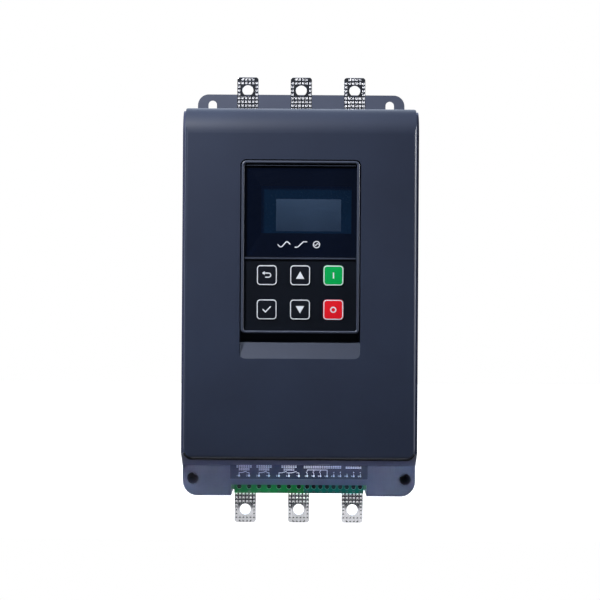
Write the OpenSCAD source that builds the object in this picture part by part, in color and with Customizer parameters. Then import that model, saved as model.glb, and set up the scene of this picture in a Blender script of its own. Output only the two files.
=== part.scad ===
// Wall-mounted three-phase motor soft starter with bypass relays.
// X runs to the right, Z up, and the wall face lies at Y = 0 with the front towards -Y.
// Depths below are distances from the wall face, so depth d lies at Y = -d.
// Z = 0 is half way between the ends of the busbars.

/* [Housing] */
// Width of the moulded housing
housing_w = 178; // [176:1:196]
// Height of the housing's top face above the middle
housing_top = 143.5; // [138:0.5:155]
// Distance of the housing's foot below the middle
housing_bottom = 150; // [146:0.5:162]
// Wall thickness of the housing
wall = 2.8; // [2:0.1:3.4]
// Corner radius at the housing's foot, seen from the front
foot_round = 12; // [8:0.5:14]
// Rounding along the front edges of the terminal ledge
edge_round = 2; // [1:0.25:3]
// Rounding of the side walls' upper front corners
cheek_round = 18; // [10:1:22]
// How far the side walls rise in front of the terminal ledge
cheek_rise = 21; // [15:0.5:26]
// Height of the ledge that shows below the cover
ledge_h = 32.3; // [30:0.1:36]
// Height of the sloping foot of the side walls
cheek_foot = 10; // [7:0.5:13]

/* [Front cover] */
// How far the cover stands in front of the side walls
cover_rise = 24; // [20:0.5:30]
// Wall thickness of the cover
cover_wall = 2.5; // [2:0.1:3]
// Radius of the rolled top edge
cover_round = 20; // [14:0.5:24]
// Radius of the cover's lower corners, seen from the front
cover_corner = 8; // [5:0.5:10]
// Rounding along the cover's front edges
cover_edge = 2; // [1:0.25:2.5]
// Gap between the cover and the housing
cover_gap = 0.35; // [0.2:0.05:0.6]
// Length of a snap lug along the side wall
snap_l = 10; // [6:0.5:14]
// Height of the snap lugs above and below the middle
snap_z = 72; // [60:1:80]
// Distance of the snap lugs from the cover's rear edge
snap_inset = 6; // [4:0.5:9]
// Length of a snap lug's slope towards the front
snap_d = 5; // [3:0.5:7]

/* [Wall plate] */
// Thickness of the steel wall plate
plate_t = 2.5; // [2:0.1:4]
// Gap between the wall plate and the housing walls
plate_gap = 0.85; // [0.5:0.05:1.5]
// Height of the fixing tab above the housing
tab_h = 26; // [22:0.5:34]
// Corner radius of the wall plate
plate_round = 9; // [5:0.5:10]
// Width of a fixing slot
slot_w = 7; // [5:0.1:8]
// Length of a fixing slot from end to end
slot_l = 12; // [9:0.5:16]
// Distance of the slot centres from the plate's sides
slot_edge = 12.15; // [10:0.05:16]
// Distance of the upper slot centres below the plate's top edge
slot_drop = 11; // [9:0.5:13]
// Distance between the upper and lower slot centres
slot_spacing = 276; // [270:0.5:282]

/* [Heat sink] */
// Width of the heat sink
sink_w = 150; // [140:1:154]
// Length of the heat sink
sink_l = 200; // [190:1:214]
// Thickness of the heat sink's base
sink_base_t = 10; // [8:0.5:14]
// Height of the fins
fin_h = 30; // [20:0.5:36]
// Thickness of a fin
fin_t = 2; // [1.5:0.1:3]
// Number of fins between the two rails
fin_count = 13; // [9:1:15]
// Width of the two side rails
rail_w = 10; // [8:0.5:12]

/* [Power parts] */
// Distance between neighbouring phases
phase_pitch = 42.1; // [40:0.1:46]
// Width of a thyristor module
module_w = 34; // [30:0.5:36]
// Length of a thyristor module
module_l = 94; // [90:0.5:98]
// Height of a thyristor module
module_t = 30; // [26:0.5:34]
// Distance of the module's power terminals from its centre
post_z = 23; // [18:0.5:24]
// Width of a busbar
bar_w = 16.7; // [14:0.1:20]
// Thickness of a busbar
bar_t = 3; // [2:0.25:5]
// How far the line busbars stand above the housing
line_bar_out = 31.8; // [28:0.1:40]
// How far the load busbars stand below the housing
load_bar_out = 25.3; // [22:0.1:34]
// Diameter of the cable lug holes
lug_d = 8.6; // [6.4:0.1:10]
// Distance of a lug hole from the end of its busbar
lug_inset = 10.3; // [8:0.1:12]
// Corner radius of the busbar ends
bar_round = 2.2; // [1:0.1:4]
// Width of a bypass relay
relay_w = 34; // [28:0.5:37]
// Length of a bypass relay
relay_l = 68; // [62:0.5:74]
// Height of a bypass relay
relay_t = 18; // [14:0.5:24]
// Width of a current transformer
ct_w = 36; // [30:0.5:38]
// Thickness of a current transformer along the busbar
ct_t = 12; // [9:0.5:16]

/* [Control terminals] */
// Number of relay output terminals
relay_poles = 7; // [5:1:8]
// Pitch of the relay output terminals
relay_pitch = 7.62; // [7.5:0.02:8]
// Number of signal terminals
signal_poles = 9; // [7:1:11]
// Pitch of the signal terminals
signal_pitch = 5.08; // [5:0.02:5.5]
// Height of the terminal blocks above the board
terminal_t = 10.2; // [9:0.1:13]
// Size of the terminal blocks along Z
terminal_h = 9.6; // [9:0.1:11]
// Diameter of the screw holes in the terminal blocks
pole_d = 3.6; // [3:0.1:3.8]
// Gap between the terminals and the notch in the ledge
notch_gap = 1.35; // [0.8:0.05:2.5]
// Height of the notch in the ledge
notch_h = 8.6; // [7:0.1:9.5]
// Height of the printed label
label_h = 11.9; // [9:0.1:13]
// Diameter of the screw wells in the ledge
well_d = 8.9; // [8:0.1:10]
// Distance of the screw wells from the housing's sides
well_inset = 7.8; // [7:0.1:9]
// Height of the screw wells above the housing's foot
well_rise = 13.4; // [12:0.1:15]

/* [Control board] */
// Width of the control board
board_w = 144; // [130:1:145]
// Length of the control board
board_l = 254; // [244:1:262]
// Thickness of the boards
board_t = 1.6; // [1:0.1:2.4]
// Space between the bypass relays and the control board
board_clear = 5.1; // [4:0.1:10]

/* [Keypad] */
// Width of the keypad unit
panel_w = 87.6; // [84:0.2:94]
// Height of the keypad unit
panel_h = 128; // [122:0.5:134]
// Thickness of the keypad unit
panel_t = 15.5; // [14.5:0.1:17]
// Height of the keypad unit's top edge above the middle
panel_top = 103.2; // [98:0.2:108]
// Gap round the keypad unit in its bay
panel_gap = 0.9; // [0.8:0.1:2]
// How far the keypad unit's rim lies behind the cover's face
panel_sink = 1; // [0.5:0.1:2]
// Corner radius of the keypad unit
panel_round = 3.5; // [2.5:0.1:5]
// Width of the raised rim round the keypad unit
rim_w = 2; // [1.5:0.1:3]
// Height of the raised rim
rim_h = 1; // [0.5:0.1:1.4]
// Distance of the dividing bar below the keypad unit's top edge
divider_drop = 72.3; // [68:0.1:74]
// Height of the finger recess below the keypad unit
finger_h = 18.8; // [16:0.2:22]
// Height of the sloping ramp in the finger recess
ramp_h = 12; // [9:0.5:13]
// Depth of the ramp behind the cover's face
ramp_deep = 4; // [3:0.5:8]
// Width of a key
key_w = 15; // [13:0.1:16]
// Corner radius of a key
key_round = 2.7; // [1.5:0.1:3.5]
// Distance between key columns
key_pitch_x = 24.7; // [22:0.1:26]
// Distance between key rows
key_pitch_z = 25.4; // [23:0.1:26]
// Distance of the upper key row below the dividing bar
key_drop = 12.6; // [11:0.1:13]
// How far a key stands out of the keypad's face
key_out = 0.8; // [0.7:0.05:1.5]
// Gap round a key
key_gap = 0.25; // [0.15:0.05:0.4]
// Travel of a key
key_travel = 0.6; // [0.3:0.05:0.8]
// Thickness of the film over the key face
overlay_t = 0.4; // [0.2:0.05:0.6]
// Width of the display module
lcd_w = 70; // [64:0.5:74]
// Height of the display module
lcd_h = 38; // [34:0.5:42]
// Width of the display's picture area
view_w = 48.6; // [44:0.2:52]
// Height of the display's picture area
view_h = 24.2; // [20:0.2:28]

/* [Hidden] */
$fn = 48;
eps = 0.01;                  // overlap that lets a cut pass cleanly through a face
fit = 0.3;                   // clearance between pieces that only lie beside each other
thread_fit = 0.05;           // clearance of a screw's shank in its hole

// Depths, stacked up from the wall
sink_front_d = plate_t + fin_h + sink_base_t;
bar_back_d = sink_front_d + module_t;
bar_front_d = bar_back_d + bar_t;
relay_foot_t = 1.2;
relay_lift = 6.5;
relay_back_d = bar_front_d + relay_lift;
relay_front_d = relay_back_d + relay_t;
board_back_d = relay_front_d + board_clear;
board_front_d = board_back_d + board_t;
terminal_d = board_front_d + terminal_t;
ledge_d = terminal_d + fit + wall;        // the terminals stand just behind the ledge's wall
side_d = ledge_d + cheek_rise;
cover_d = side_d + cover_rise;
top_front_d = ledge_d - wall;             // front edge of the housing's top wall
cover_rear_d = top_front_d + cover_gap;
snap_rear_d = cover_rear_d + snap_inset;
snap_gap = 0.4;              // room round a lug in its window
snap_root = 0.5;             // how deep a lug is rooted in the cover's wall
snap_bite = 0.6;             // share of the housing's wall that a lug reaches through

// Housing and cover outline
inner_w = housing_w - 2 * wall;
cover_w = inner_w - 2 * cover_gap;
cover_bottom = housing_bottom - ledge_h;
ledge_top = cover_bottom + cover_gap;     // below the middle
cheek_lift = 2;                           // the side walls reach full depth this far above the cover's foot

// Wall plate
plate_w = inner_w - 2 * plate_gap;
plate_top = housing_top + tab_h;
plate_bottom = housing_bottom - wall - cover_gap;
slot_x = plate_w / 2 - slot_edge;
slot_top_z = plate_top - slot_drop;
slot_low_z = slot_top_z - slot_spacing;

// Posts that carry the housing, screwed down through the wells
well_wall = 2.15;
well_floor_t = 2.5;
well_x = housing_w / 2 - well_inset;
well_z = -housing_bottom + well_rise;
post_drop = 18.5;            // distance of the upper posts below the housing's top
upper_post_z = housing_top - post_drop;
post_h = 45;
post_flats = 8;
well_floor_d = plate_t + post_h + well_floor_t;
upper_boss_h = 12.5;
housing_screw_l = 12;

// Screws: shank radius, head radius and head height
m3 = [1.5, 2.8, 2];
m4 = [2, 3.6, 2.6];
m5 = [2.5, 4.6, 3.4];
m6 = [3, 5.2, 4];

// Heat sink fixings
sink_screw_x = sink_w / 2 - rail_w / 2;
sink_screw_z = sink_l / 2 - 15;
sink_screw_l = 17;
standoff_x = board_w / 2 - 6;
standoff_z = sink_l / 2 - 10;
standoff_flats = 7;
standoff_stud = 7;
board_screw_l = 7;
hole_spare = 0.5;            // depth of a threaded hole beyond its screw
module_foot_t = 6;
module_foot_l = 14;
module_step = 1.5;
post_rise = 3;
post_w = 15;
post_l = 13;
module_hole_z = module_l / 2 - 7;
module_screw_l = 14;
terminal_screw_l = 11;

// Phases
phases = [-phase_pitch, 0, phase_pitch];
bar_inner = post_z - 9;
line_bar_end = housing_top + line_bar_out;
load_bar_end = housing_bottom + load_bar_out;
bar_clear = 0.8;             // room beside a busbar where it leaves the housing
relay_foot_l = 12;
relay_foot_w = bar_w - 3;
relay_screw_z = relay_l / 2 + relay_foot_l / 2;
relay_screw_l = 9;
ct_d = 30;
ct_round = 4;
ct_drop = 27;                // distance of the ring cores below the modules
ct_z = -module_l / 2 - ct_drop;

// Control terminals
relay_block_w = relay_poles * relay_pitch;
signal_block_w = signal_poles * signal_pitch;
terminals_w = relay_block_w + signal_block_w;
terminal_bottom = -housing_bottom + 2;
notch_w = max(terminals_w, 2 * phase_pitch + bar_w) + 2 * notch_gap;
notch_back_d = bar_back_d - 2.5;
notch_top = -housing_bottom + notch_h;
label_w = terminals_w + 6;
label_rise = 19;
label_z = -housing_bottom + label_rise;
label_t = 0.3;
label_deep = 0.5;
pole_hole_rise = 4.8;        // screw hole centres above the blocks' lower face
pole_slit_rise = 1.3;
pole_slit_w = 2.2;
pole_slit_h = 0.8;
pole_slit_deep = 0.6;
pole_floor = 2;              // plastic under a terminal screw
pole_screw_r = pole_d / 2 - 0.5;
pole_head_r = pole_d / 2 - 0.12;
pole_head_t = 1.8;
pole_screw_sink = 1.6;       // how far a terminal screw's head lies below the block's face
pole_drive_w = 0.5;
pole_drive_deep = 0.8;
block_gap = 0.1;             // room between the two terminal blocks
entry_wall = 0.9;            // plastic beside a wire entry
entry_rear = 1.4;            // plastic behind a wire entry
entry_t = 3.8;
entry_cap = 2.4;             // plastic above a wire entry
board_bottom = -housing_bottom + wall + 1.2;

// Parts on the control board
part_x = 34;
part_z = 73;
core_w = 36;
core_h = 20;
core_l = 14;
core_side = 4;               // core that shows beside and over the winding
coil_l = 34;
cube_w = 15;
cube_l = 19;
cube_z = -96;
cube_x = -22;
cube_gap = 5;
can_d = 13;
can_l = 22;
can_x = 29;
can_gap = 4;

// Keypad unit
rim_front_d = cover_d - panel_sink;
face_d = rim_front_d - rim_h;
panel_back_d = rim_front_d - panel_t;
seat_gap = 0.3;
bay_floor_d = panel_back_d - seat_gap;
bay_w = panel_w + 2 * panel_gap;
bay_top = panel_top + panel_gap;
panel_bottom = panel_top - panel_h;
bay_bottom = panel_bottom - finger_h;
bay_round = panel_round + panel_gap;
panel_face_t = 2.4;
panel_wall = 2;
panel_shell_t = 2;
divider_z = panel_top - divider_drop;
divider_h = 1.9;
window_t = 1.5;
window_bottom = divider_z + divider_h / 2;
window_gap = 0.15;
overlay_top = divider_z - divider_h / 2 + rim_w;
panel_board_gap = 1.2;
rest_w = 6;                  // size of the rests that carry the keypad's board
rest_inset = 12;
panel_board_d = panel_back_d + panel_shell_t + panel_board_gap;
panel_board_front_d = panel_board_d + board_t;
panel_boss_r = 3;
panel_boss_inset = 5.5;
panel_boss_x = panel_w / 2 - panel_boss_inset;
head_sink = 0.1;             // how far a keypad screw's head lies below the back
panel_head_d = panel_back_d + head_sink;
panel_screw_l = 8.2;
panel_screw_r = 1.1;
panel_head_r = 2.3;
panel_head_t = 1.2;
panel_boss_z = [panel_top - panel_boss_inset, panel_bottom + panel_boss_inset];
key_flange = 1;
key_flange_t = 1.2;
key_flange_front_d = face_d - panel_face_t - 0.2;
key_stem_r = 2;
key_stem_l = 0.6;
switch_reach = 0.1;          // room left behind a key at the end of its travel
switch_d = key_flange_front_d - key_flange_t - key_stem_l - key_travel - switch_reach;
plunger_l = 1.1;
plunger_r = 1.7;
switch_w = 6;
lcd_lip = 3;
lcd_gap = 2.5;               // room between the display module and the keypad's right wall
lcd_x = panel_w / 2 - panel_wall - lcd_gap - lcd_w / 2;
lcd_drop = 36.2;
lcd_z = panel_top - lcd_drop;
lcd_front_d = face_d - panel_face_t - 1.1;
view_x = lcd_x + 1.7;
view_z = lcd_z - 3.9;
view_deep = 0.4;

// Plug of the keypad unit and its socket behind the bay
plug_w = 22;
plug_h = 8;
plug_l = 8;
plug_room = 1;               // room round the plug where it passes the bay's floor
plug_drop = 83;
plug_z = panel_top - plug_drop;
socket_rim = 3;
socket_t = 9;
bay_wall = 2.3;
cable_w = 16;
cable_t = 1;
header_h = 8;
header_rim = 2;
header_drop = 26;
header_z = plug_z - header_drop;

moulding = [0.22, 0.24, 0.32];
dark_plastic = [0.08, 0.09, 0.12];
tinned = [0.78, 0.78, 0.8];
steel = [0.62, 0.63, 0.65];
board_green = [0.1, 0.35, 0.2];
terminal_green = [0.1, 0.42, 0.22];

// Building blocks

// Outline in the front view, extruded between two depths
module front_extrude(d0, d1) {
    translate([0, -d0, 0]) rotate([90, 0, 0]) linear_extrude(d1 - d0) children();
}

// Outline of depth and height, extruded along X about the middle
module side_extrude(w) {
    rotate([90, 0, -90]) linear_extrude(w, center = true) children();
}

// Block given by its width about x, its two depths and its two heights
module block(x, w, d0, d1, z0, z1) {
    translate([x - w / 2, -d1, z0]) cube([w, d1 - d0, z1 - z0]);
}

// Block given by its middle, width and height in the front view, and its two depths
module pad(x, z, w, h, d0, d1) {
    block(x, w, d0, d1, z - h / 2, z + h / 2);
}

// Round bar that runs outwards from depth d0 to d1
module rod(x, z, d0, d1, r) {
    translate([x, -d0, z]) rotate([90, 0, 0]) cylinder(r = r, h = d1 - d0);
}

// Cone that runs outwards from depth d0 to d1
module taper(x, z, d0, d1, r0, r1) {
    translate([x, -d0, z]) rotate([90, 0, 0]) cylinder(r1 = r0, r2 = r1, h = d1 - d0);
}

// Hexagonal bar with its flats facing left and right
module hex_rod(x, z, d0, d1, flats) {
    translate([x, -d0, z]) rotate([90, 90, 0]) cylinder(d = flats / cos(30), h = d1 - d0, $fn = 6);
}

// Rectangle with round corners, given by its width and its two heights
module round_rect(w, z0, z1, r) {
    translate([-w / 2 + r, z0]) square([w - 2 * r, z1 - z0]);
    translate([-w / 2, z0 + r]) square([w, z1 - z0 - 2 * r]);
    for (x = [-w / 2 + r, w / 2 - r], z = [z0 + r, z1 - r]) translate([x, z]) circle(r);
}

// Slot with round ends, lying along the first axis
module slot_shape(l, w) {
    square([l - w, w], center = true);
    for (s = [-1, 1]) translate([s * (l - w) / 2, 0]) circle(d = w);
}

// The two points where a corner's arc begins and ends, or the corner itself where it is sharp
function corner_points(p, r, before, after) = r > 0 ? [p + r * before, p + r * after] : [p];

// Rectangle between two corners whose four corners each have their own radius,
// given from the lower left one anticlockwise
module corner_rect(p, q, r) {
    polygon(concat(
        corner_points(p, r[0], [0, 1], [1, 0]),
        corner_points([q[0], p[1]], r[1], [-1, 0], [0, 1]),
        corner_points(q, r[2], [0, -1], [-1, 0]),
        corner_points([p[0], q[1]], r[3], [1, 0], [0, -1])));
    if (r[0] > 0) translate([p[0] + r[0], p[1] + r[0]]) circle(r[0]);
    if (r[1] > 0) translate([q[0] - r[1], p[1] + r[1]]) circle(r[1]);
    if (r[2] > 0) translate([q[0] - r[2], q[1] - r[2]]) circle(r[2]);
    if (r[3] > 0) translate([p[0] + r[3], q[1] - r[3]]) circle(r[3]);
}

// Outline in the view from above, of width and depth, extruded between two heights
module top_extrude(z0, z1) {
    translate([0, 0, z0]) linear_extrude(z1 - z0) mirror([0, 1]) children();
}

// Screw whose head rests at depth d and whose shank runs back towards the wall
module screw(x, z, d, l, size) {
    rod(x, z, d - l, d + eps, size[0]);
    difference() {
        rod(x, z, d, d + size[2], size[1]);
        for (a = [0, 90]) translate([x, -d - size[2], z]) rotate([0, a, 0])
            cube([size[1] * 1.3, size[2], size[1] * 0.3], center = true);
    }
}

// Hexagon-headed screw
module hex_screw(x, z, d, l, size) {
    rod(x, z, d - l, d + eps, size[0]);
    hex_rod(x, z, d, d + size[2], size[1] * 2 * cos(30));
}

// Wall plate and heat sink

module back_plate() color(moulding) difference() {
    front_extrude(0, plate_t) corner_rect([-plate_w / 2, -plate_bottom], [plate_w / 2, plate_top],
        [foot_round - wall, foot_round - wall, plate_round, plate_round]);
    for (s = [-1, 1], z = [slot_top_z, slot_low_z])
        front_extrude(-eps, plate_t + eps)
            translate([s * slot_x, z]) rotate(90) slot_shape(slot_l, slot_w);
    for (s = [-1, 1], t = [-1, 1]) {
        rod(s * sink_screw_x, t * sink_screw_z, -eps, plate_t + eps, m5[0] + thread_fit);
        taper(s * sink_screw_x, t * sink_screw_z, 0, plate_t, m5[0] * 2 + thread_fit, m5[0] + thread_fit);
    }
}

// Extruded profile, seen from above: base, two solid rails and a row of fins
module sink_profile() {
    translate([-sink_w / 2, plate_t + fin_h]) square([sink_w, sink_base_t]);
    for (s = [-1, 1])
        translate([s * (sink_w - rail_w) / 2 - rail_w / 2, plate_t]) square([rail_w, fin_h + eps]);
    fin_pitch = (sink_w - 2 * rail_w) / (fin_count + 1);
    for (i = [1 : fin_count])
        translate([-sink_w / 2 + rail_w + i * fin_pitch - fin_t / 2, plate_t]) square([fin_t, fin_h + eps]);
}

module heatsink() color([0.7, 0.71, 0.73]) difference() {
    translate([0, 0, -sink_l / 2]) linear_extrude(sink_l) mirror([0, 1]) sink_profile();
    for (s = [-1, 1], t = [-1, 1]) {
        rod(s * sink_screw_x, t * sink_screw_z, 0, sink_screw_l + hole_spare, m5[0] + thread_fit);
        rod(s * standoff_x, t * standoff_z, sink_front_d - standoff_stud - hole_spare, sink_front_d + eps,
            m4[0] + thread_fit);
    }
    for (x = phases, t = [-1, 1])
        rod(x, t * module_hole_z, sink_front_d + module_foot_t - module_screw_l - hole_spare,
            sink_front_d + eps, m5[0] + thread_fit);
}

module heatsink_screws() color(steel) for (s = [-1, 1], t = [-1, 1]) {
    taper(s * sink_screw_x, t * sink_screw_z, 0, plate_t, m5[0] * 2, m5[0]);
    rod(s * sink_screw_x, t * sink_screw_z, plate_t - eps, sink_screw_l, m5[0]);
}

module housing_posts() color(steel) for (s = [-1, 1], z = [well_z, upper_post_z]) difference() {
    hex_rod(s * well_x, z, plate_t, plate_t + post_h, post_flats);
    rod(s * well_x, z, plate_t + post_h - housing_screw_l, plate_t + post_h + eps, m4[0] + thread_fit);
}

// Power parts

module thyristor_module(x) color([0.15, 0.15, 0.16]) difference() {
    union() {
        pad(x, 0, module_w, module_l, sink_front_d, sink_front_d + module_foot_t);
        pad(x, 0, module_w - 2 * module_step, module_l - 2 * module_foot_l,
            sink_front_d + module_foot_t - eps, bar_back_d - post_rise);
        for (z = [-post_z, 0, post_z]) pad(x, z, post_w, post_l, bar_back_d - post_rise - eps, bar_back_d);
    }
    for (t = [-1, 1]) {
        rod(x, t * module_hole_z, sink_front_d - eps, sink_front_d + module_foot_t + eps, m5[0] + fit);
        rod(x, t * post_z, bar_front_d - terminal_screw_l - hole_spare, bar_back_d + eps,
            m6[0] + thread_fit);
    }
}

module module_screws() color(steel) for (x = phases, t = [-1, 1])
    screw(x, t * module_hole_z, sink_front_d + module_foot_t, module_screw_l, m5);

// Flat bar from the module's terminal out through the housing, upwards or downwards
module busbar(x, side, reach) color(tinned) difference() {
    front_extrude(bar_back_d, bar_front_d) translate([x, 0]) mirror([0, side < 0 ? 1 : 0])
        corner_rect([-bar_w / 2, bar_inner], [bar_w / 2, reach], [0, 0, bar_round, bar_round]);
    rod(x, side * (reach - lug_inset), bar_back_d - eps, bar_front_d + eps, lug_d / 2);
    rod(x, side * post_z, bar_back_d - eps, bar_front_d + eps, m6[0] + fit);
    rod(x, side * relay_screw_z, bar_back_d - eps, bar_front_d + eps, m4[0] + thread_fit);
}

module terminal_screws() color(steel) for (x = phases, t = [-1, 1])
    hex_screw(x, t * post_z, bar_front_d, terminal_screw_l, m6);

// Sealed relay with two bent copper feet that bridge the line and load busbars
module bypass_relay(x) color([0.2, 0.2, 0.22]) difference() {
    union() {
        pad(x, 0, relay_w, relay_l, relay_back_d, relay_front_d);
        for (t = [-1, 1]) {
            rise_z = t * (relay_l + relay_foot_t) / 2;
            pad(x, rise_z, relay_foot_w, relay_foot_t, bar_front_d, relay_back_d + relay_foot_t * 2);
            pad(x, t * relay_screw_z, relay_foot_w, relay_foot_l, bar_front_d, bar_front_d + relay_foot_t);
        }
    }
    for (t = [-1, 1])
        rod(x, t * relay_screw_z, bar_front_d - eps, bar_front_d + relay_foot_t + eps, m4[0] + thread_fit);
}

module relay_screws() color(steel) for (x = phases, t = [-1, 1])
    screw(x, t * relay_screw_z, bar_front_d + relay_foot_t, relay_screw_l, m4);

// Ring core round a load busbar
module current_transformer(x) color([0.1, 0.12, 0.3]) difference() {
    middle_d = (bar_back_d + bar_front_d) / 2;
    translate([x, -middle_d, ct_z - ct_t / 2]) linear_extrude(ct_t) {
        square([ct_w - 2 * ct_round, ct_d], center = true);
        square([ct_w, ct_d - 2 * ct_round], center = true);
        for (s = [-1, 1], t = [-1, 1])
            translate([s * (ct_w / 2 - ct_round), t * (ct_d / 2 - ct_round)]) circle(ct_round);
    }
    block(x, bar_w + 2 * fit, bar_back_d - fit, bar_front_d + fit, ct_z - ct_t, ct_z + ct_t);
}

// One of each power part for every phase
module thyristor_module_1() thyristor_module(phases[0]);
module thyristor_module_2() thyristor_module(phases[1]);
module thyristor_module_3() thyristor_module(phases[2]);
module line_busbar_1() busbar(phases[0], 1, line_bar_end);
module line_busbar_2() busbar(phases[1], 1, line_bar_end);
module line_busbar_3() busbar(phases[2], 1, line_bar_end);
module load_busbar_1() busbar(phases[0], -1, load_bar_end);
module load_busbar_2() busbar(phases[1], -1, load_bar_end);
module load_busbar_3() busbar(phases[2], -1, load_bar_end);
module bypass_relay_1() bypass_relay(phases[0]);
module bypass_relay_2() bypass_relay(phases[1]);
module bypass_relay_3() bypass_relay(phases[2]);
module current_transformer_1() current_transformer(phases[0]);
module current_transformer_2() current_transformer(phases[1]);
module current_transformer_3() current_transformer(phases[2]);

// Control board and what is soldered to it

module board_standoffs() color(steel) for (s = [-1, 1], t = [-1, 1]) difference() {
    union() {
        hex_rod(s * standoff_x, t * standoff_z, sink_front_d, board_back_d, standoff_flats);
        rod(s * standoff_x, t * standoff_z, sink_front_d - standoff_stud, sink_front_d + eps, m4[0]);
    }
    rod(s * standoff_x, t * standoff_z, board_back_d - board_screw_l, board_back_d + eps,
        m3[0] + thread_fit);
}

module control_board() color(board_green) difference() {
    block(0, board_w, board_back_d, board_front_d, board_bottom, board_bottom + board_l);
    for (s = [-1, 1], t = [-1, 1])
        rod(s * standoff_x, t * standoff_z, board_back_d - eps, board_front_d + eps, m3[0] + fit);
}

module board_screws() color(steel) for (s = [-1, 1], t = [-1, 1])
    screw(s * standoff_x, t * standoff_z, board_front_d, board_screw_l, m3);

// Laminated core with its winding through the middle
module control_transformer() color([0.75, 0.6, 0.2]) {
    pad(-part_x, part_z, core_w, core_l, board_front_d, board_front_d + core_h);
    pad(-part_x, part_z, core_w - 2 * core_side, coil_l,
        board_front_d + core_side, board_front_d + core_h - core_side);
}

module output_relays() color([0.12, 0.2, 0.5]) for (i = [-1 : 1])
    pad(cube_x + i * (cube_w + cube_gap), cube_z, cube_w, cube_l, board_front_d, board_front_d + cube_w);

module board_capacitors() color([0.12, 0.12, 0.14]) for (i = [-1 : 1])
    rod(can_x + i * (can_d + can_gap), part_z, board_front_d, board_front_d + can_l, can_d / 2);

// Screw terminal block with its wire entries facing down
module terminal_block(x0, poles, pitch) {
    entry_d = board_front_d + entry_rear;
    difference() {
        block(x0 + poles * pitch / 2, poles * pitch - block_gap, board_front_d, terminal_d,
            terminal_bottom, terminal_bottom + terminal_h);
        for (i = [0 : poles - 1]) {
            x = x0 + (i + 0.5) * pitch;
            rod(x, terminal_bottom + pole_hole_rise, board_front_d + pole_floor, terminal_d + eps,
                pole_d / 2);
            block(x, pitch - 2 * entry_wall, entry_d, entry_d + entry_t,
                terminal_bottom - eps, terminal_bottom + terminal_h - entry_cap);
            pad(x, terminal_bottom + pole_slit_rise, pole_slit_w, pole_slit_h,
                terminal_d - pole_slit_deep, terminal_d + eps);
        }
    }
}

module pole_screws(x0, poles, pitch) color(steel) for (i = [0 : poles - 1]) {
    x = x0 + (i + 0.5) * pitch;
    z = terminal_bottom + pole_hole_rise;
    head_d = terminal_d - pole_screw_sink;
    neck_d = head_d - pole_head_t;
    rod(x, z, board_front_d + pole_floor + fit, neck_d, pole_screw_r);
    difference() {
        rod(x, z, neck_d - eps, head_d, pole_head_r);
        block(x, pole_d, head_d - pole_drive_deep, terminal_d, z - pole_drive_w / 2, z + pole_drive_w / 2);
    }
}

module relay_terminal_block() color(terminal_green)
    terminal_block(-terminals_w / 2, relay_poles, relay_pitch);
module signal_terminal_block() color([0.09, 0.38, 0.33])
    terminal_block(-terminals_w / 2 + relay_block_w, signal_poles, signal_pitch);
module relay_terminal_screws() pole_screws(-terminals_w / 2, relay_poles, relay_pitch);
module signal_terminal_screws() pole_screws(-terminals_w / 2 + relay_block_w, signal_poles, signal_pitch);

// Header on the board, ribbon cable and the socket that the keypad unit plugs into
module keypad_header() color(dark_plastic)
    pad(0, header_z, cable_w + 2 * header_rim, header_h, board_front_d, board_front_d + header_h);

// Centre line of the ribbon between header and socket, as a half cosine wave of depth over height
function cable_z(t) = header_z + (plug_z - header_z) * (1 - cos(180 * t)) / 2;
function cable_d(t, d0, d1) = d0 + (d1 - d0) * t;

module keypad_cable() color([0.6, 0.6, 0.62]) {
    steps = 12;
    d0 = board_front_d + header_h;
    d1 = bay_floor_d - bay_wall - socket_t;
    side_extrude(cable_w) polygon([
        for (i = [0 : steps]) [cable_d(i / steps, d0, d1), cable_z(i / steps) - cable_t / 2],
        for (i = [steps : -1 : 0]) [cable_d(i / steps, d0, d1), cable_z(i / steps) + cable_t / 2]
    ]);
}

module keypad_socket() color(dark_plastic) difference() {
    front_d = bay_floor_d - bay_wall;
    pad(0, plug_z, plug_w + 2 * socket_rim, plug_h + 2 * socket_rim, front_d - socket_t, front_d);
    pad(0, plug_z, plug_w + 2 * fit, plug_h + 2 * fit, panel_back_d - plug_l - fit, front_d + eps);
}

// Housing

// Lower block of the housing that carries the terminal ledge, with rounded front edges
module ledge_body() {
    low = -housing_bottom;
    high = -ledge_top;
    half = housing_w / 2;
    intersection() {
        side_extrude(housing_w) corner_rect([fit, low], [ledge_d, high], [0, edge_round, 0, 0]);
        front_extrude(0, ledge_d + 1)
            corner_rect([-half, low], [half, high], [foot_round, foot_round, 0, 0]);
        top_extrude(low, high) corner_rect([-half, 0], [half, ledge_d], [0, 0, edge_round, edge_round]);
    }
}

// Side view of the housing above the ledge's rounded block
module cheek_profile() {
    foot_z = -cover_bottom - cheek_foot;
    full_z = -cover_bottom + cheek_lift;
    polygon([
        [fit, foot_z], [ledge_d - edge_round, foot_z], [side_d, full_z],
        [side_d, housing_top - cheek_round], [side_d - cheek_round, housing_top - cheek_round],
        [side_d - cheek_round, housing_top], [fit, housing_top]
    ]);
    translate([side_d - cheek_round, housing_top - cheek_round]) circle(cheek_round, $fn = 96);
}

// Tube that leads a screw to its post
module screw_boss(s, z, front_d) rod(s * well_x, z, plate_t + post_h, front_d, well_d / 2 + well_wall);

// Slots that let air through the side walls
module side_vents() {
    vent_w = 3;
    vent_l = 56;
    vent_pitch = 9;
    vent_count = 15;
    vent_d = sink_front_d - 2;
    side_extrude(housing_w + 2) for (i = [0 : vent_count - 1])
        translate([vent_d, (i - (vent_count - 1) / 2) * vent_pitch]) slot_shape(vent_l, vent_w);
}

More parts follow.
